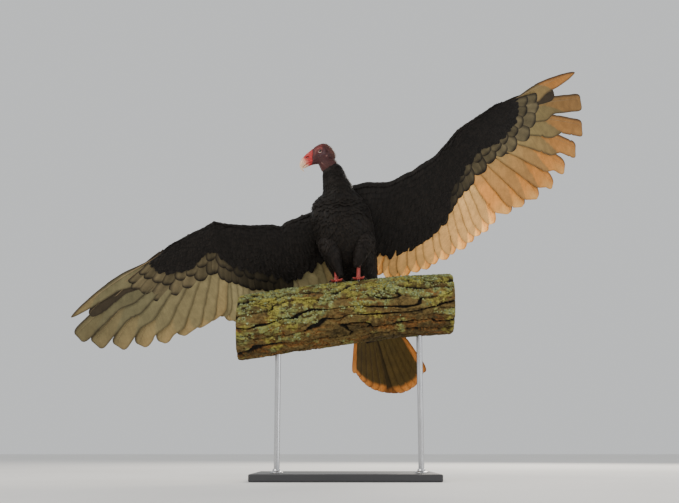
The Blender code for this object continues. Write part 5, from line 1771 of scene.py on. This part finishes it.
@dataclass
class Leg:
    """One leg: feathered thigh, scaled tarsus and toes, and dark claws."""

    name: str
    foot_x: float
    hock: Colour
    knee: Colour
    middle: float = 0.0065        # x halfway between the feet
    foot_y: float = -0.02
    trouser: float = 0.42         # how far the feathers run past the hock, in shins
    lift: float = 0.0056
    tarsus: float = 0.0058
    claw: float = 0.013
    toes: tuple = ((0.04, -24.0, 0.0043), (0.056, 0.0, 0.0046),   # length, degrees off the front, thickness
                   (0.043, 24.0, 0.0042), (0.022, 180.0, 0.0038))

    def __post_init__(self) -> None:
        """Make the thigh's chart from the hip to below the hock."""
        knee, hock = array(self.knee), array(self.hock)
        hip = knee + array([(self.middle - knee[0]) * 0.55, 0.042, 0.044])
        down = hock + (hock - knee) * self.trouser
        self.chart = TubeChart(
            ((hip, 0.018, 0.022), ((hip + knee) / 2, 0.03, 0.032), (knee, 0.034, 0.036),
             ((knee + hock) / 2, 0.028, 0.03), (hock, 0.019, 0.021), (down, 0.0105, 0.0125)), (1, 0, 0), 2.0)
        self.end = float(self.chart.at[-1])

    def skin(self) -> Cloth:
        """Closed shell of the thigh inside its coat."""
        return tube_cloth(self.chart.rings(linspace(0.002, self.end - 0.003, 30), 28, -0.0055))

    def coat(self) -> Cloth:
        """Thigh feathers and the short trousers over the hock."""
        dice, parts = chance(51), []
        for number, u in enumerate(arange(0.012, self.end - 0.012, 0.0062)):
            share = u / self.end
            wide = 0.016 - 0.006 * share
            around = 2 * pi * float(interp(u, self.chart.at, self.chart.wide))
            count = max(7, int(around / (0.56 * wide)))
            near = scatter(dice, count)
            v = (arange(count) + 0.5 * (number % 2) + near(0, 0.2)) / count * 2 * pi
            length = (0.03 - 0.008 * share) * near(1, 0.1)
            parts.append(Tract(near(u, 0.002), v, length, wide, near(0, 0.12), -0.0052, 0.0046,
                               near(0, 0.12), near(1.025, 0.275), 0.0))
        black = Dye((0.01, 0.008, 0.0075), (0.03, 0.02, 0.015), (0.02, 0.015, 0.012), (0.05, 0.035, 0.025))
        return lay_tract(self.chart, Tract.join(parts), black, VaneGrid(6, 3))

    def scaled(self, path: Array, radii: Array, scutes: float, hint: Colour = (1.0, 0.15, 0.1)) -> Cloth:
        """Toe or tarsus with scutes: rings swept, then swelled by a saw of small steps.

        Args:
            path: points it runs through.
            radii: radius at each.
            scutes: length of one scale.
            hint: direction of its width.

        Returns:
            The shell, dyed red with paler scale edges and painted shade in the creases between scales.
        """
        rings = sweep(path, radii, 20, 70, 1.0, hint)
        centre = rings.mean(1, keepdims=True)
        saw = (walked(centre[:, 0])[:, None] / scutes + 0.15 * cos(angles(20))) % 1.0
        rings = centre + (rings - centre) * (1 + 0.085 * (1 - saw) * ease(saw, 0.0, 0.12))[..., None]
        pale = ease(1 - saw + 0.4 * fractal(rings * 160, 2, 8), 0.3, 1.0)
        # the low end of each scale, under the next one's edge, is darkened: painted shade in the crease
        return painted(tube_cloth(rings), layered((0.43, 0.05, 0.045), ((0.62, 0.15, 0.12), pale),
                                                  ((0.16, 0.02, 0.02), ease(saw, 0.86, 1.0) * 0.7)))

    def foot(self) -> tuple[Cloth, Cloth]:
        """Return the scaled foot and its claws."""
        arc = PERCH_Y - self.foot_y
        pad, hock = bark_point(array(self.foot_x), array(arc), self.lift + 0.003), array(self.hock)
        skins = [self.scaled(array([hock + (hock - pad) * 0.1, (hock + pad) / 2, pad]),
                             array([1.12, 0.86, 1.02]) * self.tarsus, 0.0034)]
        claws = []
        for length, turn, thick in self.toes:
            ahead, side = cos(radians(turn)), sin(radians(turn))
            q = linspace(0, 1, 7)
            path = bark_point(self.foot_x + side * q * length, arc + ahead * q * length,
                              self.lift + 0.0012 * sin(q * 9.0))
            radii = thick * (1.0 - 0.25 * q) * (1 + 0.1 * cos(q * 14))
            radii[-1] *= 0.7
            skins.append(self.scaled(path, radii, 0.003, (1, 0, 0) if abs(side) < 0.5 else (1, 0.2, 0.1)))
            q = linspace(0, 1, 6)
            far = length - 0.003 + q * (self.claw + 0.003)
            hook = bark_point(self.foot_x + side * far, arc + ahead * far,
                              self.lift * (1.0 + 0.3 * sin(q * 2.8)) - 0.003 * q ** 2)
            rings = sweep(hook, thick * array([0.62, 0.6, 0.48, 0.34, 0.2, 0.05]), 14, 26, 1.15)
            tip = linspace(0, 1, len(rings))[:, None] + zeros(rings.shape[:2])
            dye = mix((0.06, 0.045, 0.038), (0.014, 0.011, 0.01), ease(tip, 0.0, 0.5))
            claws.append(painted(tube_cloth(rings), dye))
        return merge(skins), merge(claws)

    def dress(self, plumage: Finished, scale: Finished, horn: Finished) -> None:
        """Build the leg's pieces."""
        self.coat().show(f"thigh_feathers_{self.name}", plumage, "body_feathers")
        foot, claws = self.foot()
        foot.show(f"foot_skin_{self.name}", scale, "leg_skin", f"foot_{self.name}")
        claws.show(f"claws_{self.name}", horn, "leg_skin")


LEGS = (Leg("right", -0.024, (-0.0265, -0.033, 0.597), (-0.044, -0.04, 0.645), trouser=0.75),
        Leg("left", 0.037, (0.0385, -0.033, 0.607), (0.053, -0.038, 0.655)))


# -------------------- skin
@dataclass
class Skin:
    """The one skin of head, neck, trunk, arms and thighs, under the coat."""

    body: Body
    head: Head
    wings: tuple[Wing, Wing]
    legs: tuple[Leg, Leg]
    voxel: float = 0.0042
    inset: float = 0.003

    def arm(self, wing: Wing) -> Cloth:
        """Closed shell of one arm inside its coverts: rings from the rear, over the front, to the rear."""
        t = linspace(-0.24, 2.93, 90)
        reach = wing.sides[Lie.UPPER].front(t)[2][:, None] * linspace(1.0, 0.05, 13) ** 1.3 * 0.94 + 0.004
        upper, under = (wing.sides[lie].place(reach, t[:, None] + 0 * reach, 0 * reach - self.inset)
                        for lie in (Lie.UPPER, Lie.UNDER))
        middle = (upper + under) / 2
        thin = np.linalg.norm(upper - under, axis=-1, keepdims=True)
        keep = clip(0.5 + 0.5 * ease(thin, 0.0, 0.006), 0.5, 1.0)
        under = (middle + (under - middle) * keep)[:, ::-1]
        return tube_cloth(concatenate([middle + (upper - middle) * keep, under], axis=1))

    def dress(self, finish: Finished) -> Cloth:
        """Build the skin and return the head's part of it."""
        shells = [self.body.skin()] + [self.arm(w) for w in self.wings] + [leg.skin() for leg in self.legs]
        verts, quads = fused(merge(shells), "body_skin", self.voxel)
        slow = fractal(verts * 60, 2, 3)
        dark = mix((0.02, 0.014, 0.012), (0.03, 0.02, 0.017), ease(slow, -0.5, 0.5))
        face = self.head.skin(self.body.chart)
        whole = merge([face, painted(Cloth(verts, [quads]), dark)])
        arms = [f"wing_{w.pose.name}_{part}" for w in self.wings for part in ("upper_arm", "forearm", "hand")]
        whole.show("skin", finish, "bare_skin", "head", "neck", "trunk", "leg_left", "leg_right", *arms)
        return face


# -------------------- perch
@dataclass
class Perch:
    """Cut length of furrowed, lichened branch."""

    around: int = 300
    along: int = 290
    end_rings: int = 12
    furrow: float = 0.0085
    lobes: int = 4200
    lobe_points: int = 8
    feet_x: float = 0.0065        # middle of the place the feet keep clear

    def relief(self, points: Array) -> tuple[Array, Array, Array]:
        """Depth of the bark at points of the round branch.

        Furrows lie where the sine of eight turns round, swung by slow noise, is near 0.  Stretched
        noise adds finer creases, and another gives each plate its own height.

        Args:
            points: places on the round branch.

        Returns:
            Height in metres, furrow share and the plates' own noise.
        """
        x, y, z = np.moveaxis(points, -1, 0)
        wander = fractal(points * 26, 3, 61)[..., None]

        def crease(along: float, across: float, drift: float, width: float, seed: int) -> Array:
            """Give 1 in the creases of one scale and 0 on the ridges between them."""
            at = stack([x * along, (y + 0.175 * x) * across, (z + 0.105 * x) * across], -1)
            return ease(1 - abs(noise(at + drift * wander, seed)) / width, 0.0, 0.85)

        angle = np.arctan2(PERCH_Y - y, z - perch_axis(x)[0])
        swing = fractal(points * (7.0, 19.0, 19.0), 3, 60)
        gap = 0.13 + 0.36 * ease(fractal(points * (10.0, 34.0, 34.0), 2, 62), -0.2, 0.4)
        big = ease(1 - abs(sin(8 * angle + 4.0 * swing + 5.0 * x)) / gap, 0.0, 0.6)
        fine = crease(8.0, 110.0, 0.6, 0.2, 65)
        split, hair = crease(40.0, 22.0, 1.0, 0.07, 68), crease(26.0, 240.0, 0.9, 0.22, 69)
        plate = fractal(points * (9, 44, 44) + 9.1, 2, 70)
        groove = clip(big + 0.48 * fine + 0.34 * split * (1 - fine) + 0.16 * hair, 0, 1.15)
        height = -self.furrow * groove + 0.0024 * plate + 0.0011 * fractal(points * 230, 2, 73) + 0.0002
        return minimum(height, 0.0022), groove, plate

    def end_face(self, rim: Array, heart: Array, radius: float, sign: int) -> tuple[Array, Array]:
        """Rings of one cut end, from its rim toward its heart, and their colours.

        The face is cut a little hollow, with a faint ripple of saw marks and cracks that run out
        from the heart, and its growth rings are a sine of the distance from it.

        Args:
            rim: last ring of the bark.
            heart: middle of the face.
            radius: of the branch there.
            sign: 1 or -1, the way the face looks along X.

        Returns:
            Points (rings, around, 3) and colours of the same shape.
        """
        w = angles(self.around)
        s = minimum(linspace(0, 1, self.end_rings + 1)[1:, None, None], 0.995)
        face, r = rim * (1 - s) + heart * s, (1 - s[..., 0]) * radius
        ripple = 0.0008 * sin(r * 2 * pi / 0.0085 + 0.6 * sin(w * 3))
        crack = ease(1 - abs(noise(stack([cos(w) * 5, sin(w) * 5, 0 * w], -1), 80)) / 0.1, 0, 1)
        crack = crack * ease(r, 0.01, 0.05)
        face[..., 0] += sign * (ripple - 0.0015 - 0.0018 * crack) + sign * 0.001 * noise(face * 160, 81)
        grow = 0.5 + 0.5 * sin(r * 2 * pi / 0.0042 + 0.5 * sin(w * 2))
        wood = mix((0.3, 0.2, 0.115), (0.42, 0.3, 0.18), grow)
        wood = mix(wood, (0.17, 0.1, 0.055), ease(0.03 - r, 0, 0.02) * 0.6)
        edge = ease(r, radius - 0.01, radius - 0.004)
        # the cracks are darkened as painted shade in them; the rim is darkened as the bark's own edge
        return face, mix(wood, (0.075, 0.045, 0.028), clip(crack + edge, 0, 1))

    def shell(self) -> Cloth:
        """Bark tube whose rows run on over both cut ends to their hearts."""
        x, w = np.meshgrid(linspace(PERCH_X[0], PERCH_X[-1], self.along), angles(self.around), indexing="ij")
        z, radius = perch_axis(x[:, 0])
        plain = round_perch(x, w, 0.0)
        height, groove, plate = self.relief(plain)
        height = height - 0.004 * ease(0.006 - minimum(x - PERCH_X[0], PERCH_X[-1] - x), 0, 0.006)
        height = height * (1 - 0.45 * bell(x, self.feet_x, 0.06) * ease(cos(w), 0.6, 0.95))
        bark = plain + stack([0 * w, -sin(w), cos(w)], -1) * height[..., None]
        (left, left_dye), (right, right_dye) = (
            self.end_face(bark[k], array([x[k, 0], PERCH_Y + 0.006, z[k] - 0.005]), radius[k], sign)
            for k, sign in ((0, -1), (-1, 1)))
        colour = concatenate([left_dye[::-1], self.dye(plain, groove, plate, cos(w)), right_dye])
        return painted(tube_cloth(concatenate([left[::-1], bark, right])), colour)

    def lichen_share(self, points: Array, top: Array) -> tuple[Array, Array]:
        """Cover of grey-green and of yellow-green lichen at bark points; both keep to the upper sides."""
        stretch = points * (26.0, 40.0, 40.0)
        return (ease(fractal(stretch, 3, 90) + 0.36 * top, -0.06, 0.26),
                ease(fractal(stretch * 0.8 + 31, 3, 95) + 0.25 * top, 0.06, 0.36))

    def dye(self, points: Array, groove: Array, plate: Array, top: Array) -> Array:
        """Colour of the bark: furrows darkened as painted shade, brown plates with rusty flanks, and lichen.
        """
        fine, blot = fractal(points * 300, 2, 98), fractal(points * 120, 3, 97)
        rust = ease(fractal(points * (9.0, 26.0, 26.0), 2, 99) - 0.35 * top, -0.05, 0.45)
        grey, gold = self.lichen_share(points, top)
        crust = (1 - ease(groove, 0.2, 0.6)) * ease(blot, -0.42, 0.06)
        colour = layered(
            (0.07, 0.048, 0.018), ((0.14, 0.095, 0.032), ease(plate + 0.5 * blot, -0.5, 0.5)),
            ((0.27, 0.115, 0.03), rust * 0.75 * ease(groove, 0.02, 0.4)),
            ((0.23, 0.245, 0.075), grey * crust * 0.88),
            # the last tint darkens the furrows to near black: painted shade in them
            ((0.29, 0.26, 0.05), gold * crust * 0.75), ((0.01, 0.008, 0.006), ease(groove, 0.34, 0.8)))
        return clip(colour * (1 + 0.42 * fine + 0.25 * blot)[..., None], 0.003, 1)

    def lichen(self) -> Cloth:
        """Small ruffled lobes of lichen: each a closed wavy disc of three rings of points."""
        dice, tries, n = chance(101), self.lobes * 6, self.lobe_points
        x, w = dice.uniform(PERCH_X[0] + 0.006, PERCH_X[-1] - 0.006, tries), dice.normal(0, 1.15, tries)
        plain = round_perch(x, w, 0.0)
        height, groove, _ = self.relief(plain)
        grey, gold = self.lichen_share(plain, cos(w))
        near = (abs(x - self.feet_x) < 0.075) & (abs(w) < 0.75)
        score = maximum(grey, 0.8 * gold) * (1 - ease(groove, 0.2, 0.6)) * np.where(near, 0.25, 1.0)
        keep = np.nonzero(dice.uniform(0, 1, tries) < score)[0][:self.lobes]
        w, count = w[keep], len(keep)
        out = stack([0 * w, -sin(w), cos(w)], -1)
        tilt = unit(out + 0.24 * dice.normal(0, 1, out.shape))
        e1 = unit(array([1.0, 0.0, 0.0]) - tilt * tilt[:, :1])
        e2 = cross(tilt, e1)[:, None]
        size = dice.uniform(0.0011, 0.003, count)[:, None]
        a = angles(n)[None]
        r = size * (1 + 0.2 * sin(3 * a + dice.uniform(0, 6, (count, 1))) + 0.1 * sin(2 * a + 2))
        centre, tilt = (plain[keep] + out * (height[keep] + 0.0004)[:, None])[:, None], tilt[:, None]
        rim = (centre + e1[:, None] * (r * cos(a))[..., None] + e2 * (r * sin(a))[..., None]
               + tilt * (0.0004 + 0.0004 * sin(2 * a + size * 9e3))[..., None])
        upper = centre + 0.45 * (rim - centre) + tilt * 0.0004
        lower = centre + 0.55 * (rim - centre) - tilt * 0.001
        shade = np.where((gold[keep] > grey[keep] * 1.1)[:, None], (0.32, 0.29, 0.07), (0.27, 0.31, 0.15))
        shade = shade * dice.uniform(0.55, 1.3, (count, 1))
        dye = shade[:, None] * np.repeat((0.75, 1.15, 0.5), n)[None, :, None]
        return painted(flock(concatenate([upper, rim, lower], axis=1), 3, n, {}), np.minimum(dye, 1.0))

    def dress(self, finish: Finished, crust: Finished) -> None:
        """Build bark and lichen."""
        self.shell().show("perch_bark", finish, "bark", "perch")
        self.lichen().show("perch_lichen", crust, "bark")


# -------------------- stand
@dataclass
class Stand:
    """Turned collars where the two rods meet the base; base and rods are the frame's own solids."""

    rods: tuple[float, float] = (-0.185, 0.205)
    base_top: float = 0.02
    outline: tuple = ((0.0181, 0.0), (0.0186, 0.0008), (0.0186, 0.0024), (0.0178, 0.0032), (0.014, 0.004),
                      (0.0118, 0.0056), (0.0108, 0.008), (0.0107, 0.01), (0.01, 0.011), (0.0084, 0.0112))

    def collar(self, x: float) -> Cloth:
        """Collar turned round the rod: its outline is a foot, a cove and a rounded lip."""
        w, (r, z) = angles(64), array(self.outline).T[..., None]
        z = z + self.base_top + 0.0001 + 0 * w
        return tube_cloth(stack([x + r * cos(w), PERCH_Y + r * sin(w), z], -1))

    def dress(self, nodes: dict[str, bpy.types.Object], steel: Finished, satin: Finished) -> None:
        """Build the collars and finish the frame's base and rods."""
        for name, finish in (("stand_base", satin), ("stand_rod_left", steel), ("stand_rod_right", steel)):
            for slot in nodes[name].material_slots:
                slot.material = finish
        for x, side in zip(self.rods, ("right", "left")):
            self.collar(x).show(f"rod_collar_{side}", steel, "stand_rod_steel")


# -------------------- studio
@dataclass
class Studio:
    """Pale floor, soft lights and the camera."""

    eye: Colour = (-0.015675, -2.7, 0.08)
    aim: Colour = (-0.015675, 0.0, 0.635)
    lens: float = 51.28           # millimetres on a sensor 36 wide
    floor: Colour = (0.8, 0.79, 0.77)
    # name, place, size, power and colour of each light
    lights: tuple = (("key", (-2.6, -2.6, 2.6), 2.2, 85.0, (1.0, 0.96, 0.9)),
                     ("fill", (3.0, -2.4, 0.7), 2.6, 42.0, (0.95, 0.97, 1.0)),
                     ("rim", (1.4, 3.0, 2.2), 1.8, 120.0, (1.0, 0.93, 0.82)))

    def put(self, name: str, data: bpy.types.ID, place: Colour, turn: Colour) -> bpy.types.Object:
        """Add a light or camera to the scene."""
        thing = bpy.data.objects.new(name, data)
        bpy.context.scene.collection.objects.link(thing)
        thing.location, thing.rotation_euler = place, turn
        return thing

    def build(self) -> None:
        """Build the floor, the world, lights that face the bird and a low camera that looks up at it."""
        x, y = np.meshgrid(linspace(-14, 14, 25), linspace(-10, 18, 25), indexing="ij")
        verts = stack([x, y, 0 * x - 0.0005], -1).reshape(-1, 3)
        paper = PaperFinish("floor_paper", self.floor).make()
        Cloth(verts, [grid_faces(25, 25, wrap=False)[:, ::-1]]).build("floor", paper)
        world = bpy.context.scene.world = bpy.data.worlds.new("studio")
        world.use_nodes = True
        back = world.node_tree.nodes["Background"].inputs
        back["Color"].default_value, back["Strength"].default_value = (0.93, 0.95, 0.96, 1.0), 0.75
        for name, place, size, power, colour in self.lights:
            data = bpy.data.lights.new(name, "AREA")
            data.shape, data.size, data.energy, data.color = "SQUARE", size, power, colour
            way = unit(array(place) - (0.0, 0.0, 0.62))
            self.put(name, data, place, (np.arccos(way[2]), 0.0, np.arctan2(way[1], way[0]) + pi / 2))
        data = bpy.data.cameras.new("camera")
        data.sensor_width, data.lens, data.clip_start, data.clip_end = 36.0, self.lens, 0.01, 100.0
        rise = np.arctan2(self.aim[2] - self.eye[2], -self.eye[1])
        bpy.context.scene.camera = self.put("camera", data, self.eye, (pi / 2 + rise, 0.0, 0.0))


def main() -> None:
    """Build and dress every part, and log the polygon count of each dressed piece."""
    logging.basicConfig(level=logging.INFO, format="%(name)s: %(message)s")
    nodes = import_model()["nodes"]
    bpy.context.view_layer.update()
    plumage = PlumageFinish("body_plumage").make()
    flight = PlumageFinish("flight_plumage", contrast=0.3, roughness=0.55, sheen=0.08, bump=0.35).make()
    skin = SkinFinish("bare_head_skin").make()
    scale = SkinFinish("scaled_foot_skin", roughness=0.48, cell=620.0, bump=0.35).make()
    horn, claw = HornFinish("bill_ivory").make(), HornFinish("claw_dark", roughness=0.28, coat=0.35).make()
    eye = EyeFinish("eye_wet").make()
    bark, crust = BarkFinish("furrowed_bark").make(), BarkFinish("lichen_crust", bump=0.5).make()
    steel = MetalFinish("brushed_steel", (0.56, 0.56, 0.57), 1.0, 0.3, 0.98).make()
    satin = MetalFinish("charcoal_satin", (0.04, 0.04, 0.043), 0.0, 0.46).make()

    body, head = Body(), Head()
    wings = (Wing(LEFT_WING), Wing(RIGHT_WING))
    face = Skin(body, head, wings, LEGS).dress(skin)
    body.dress(plumage)
    for wing in wings:
        wing.dress(plumage, flight)
    Tail().dress(flight)
    head.dress(face, skin, eye, horn, plumage)
    for leg in LEGS:
        leg.dress(plumage, scale, claw)
    Perch().dress(bark, crust)
    Stand().dress(nodes, steel, satin)
    Studio().build()


if __name__ == "__main__":
    main()
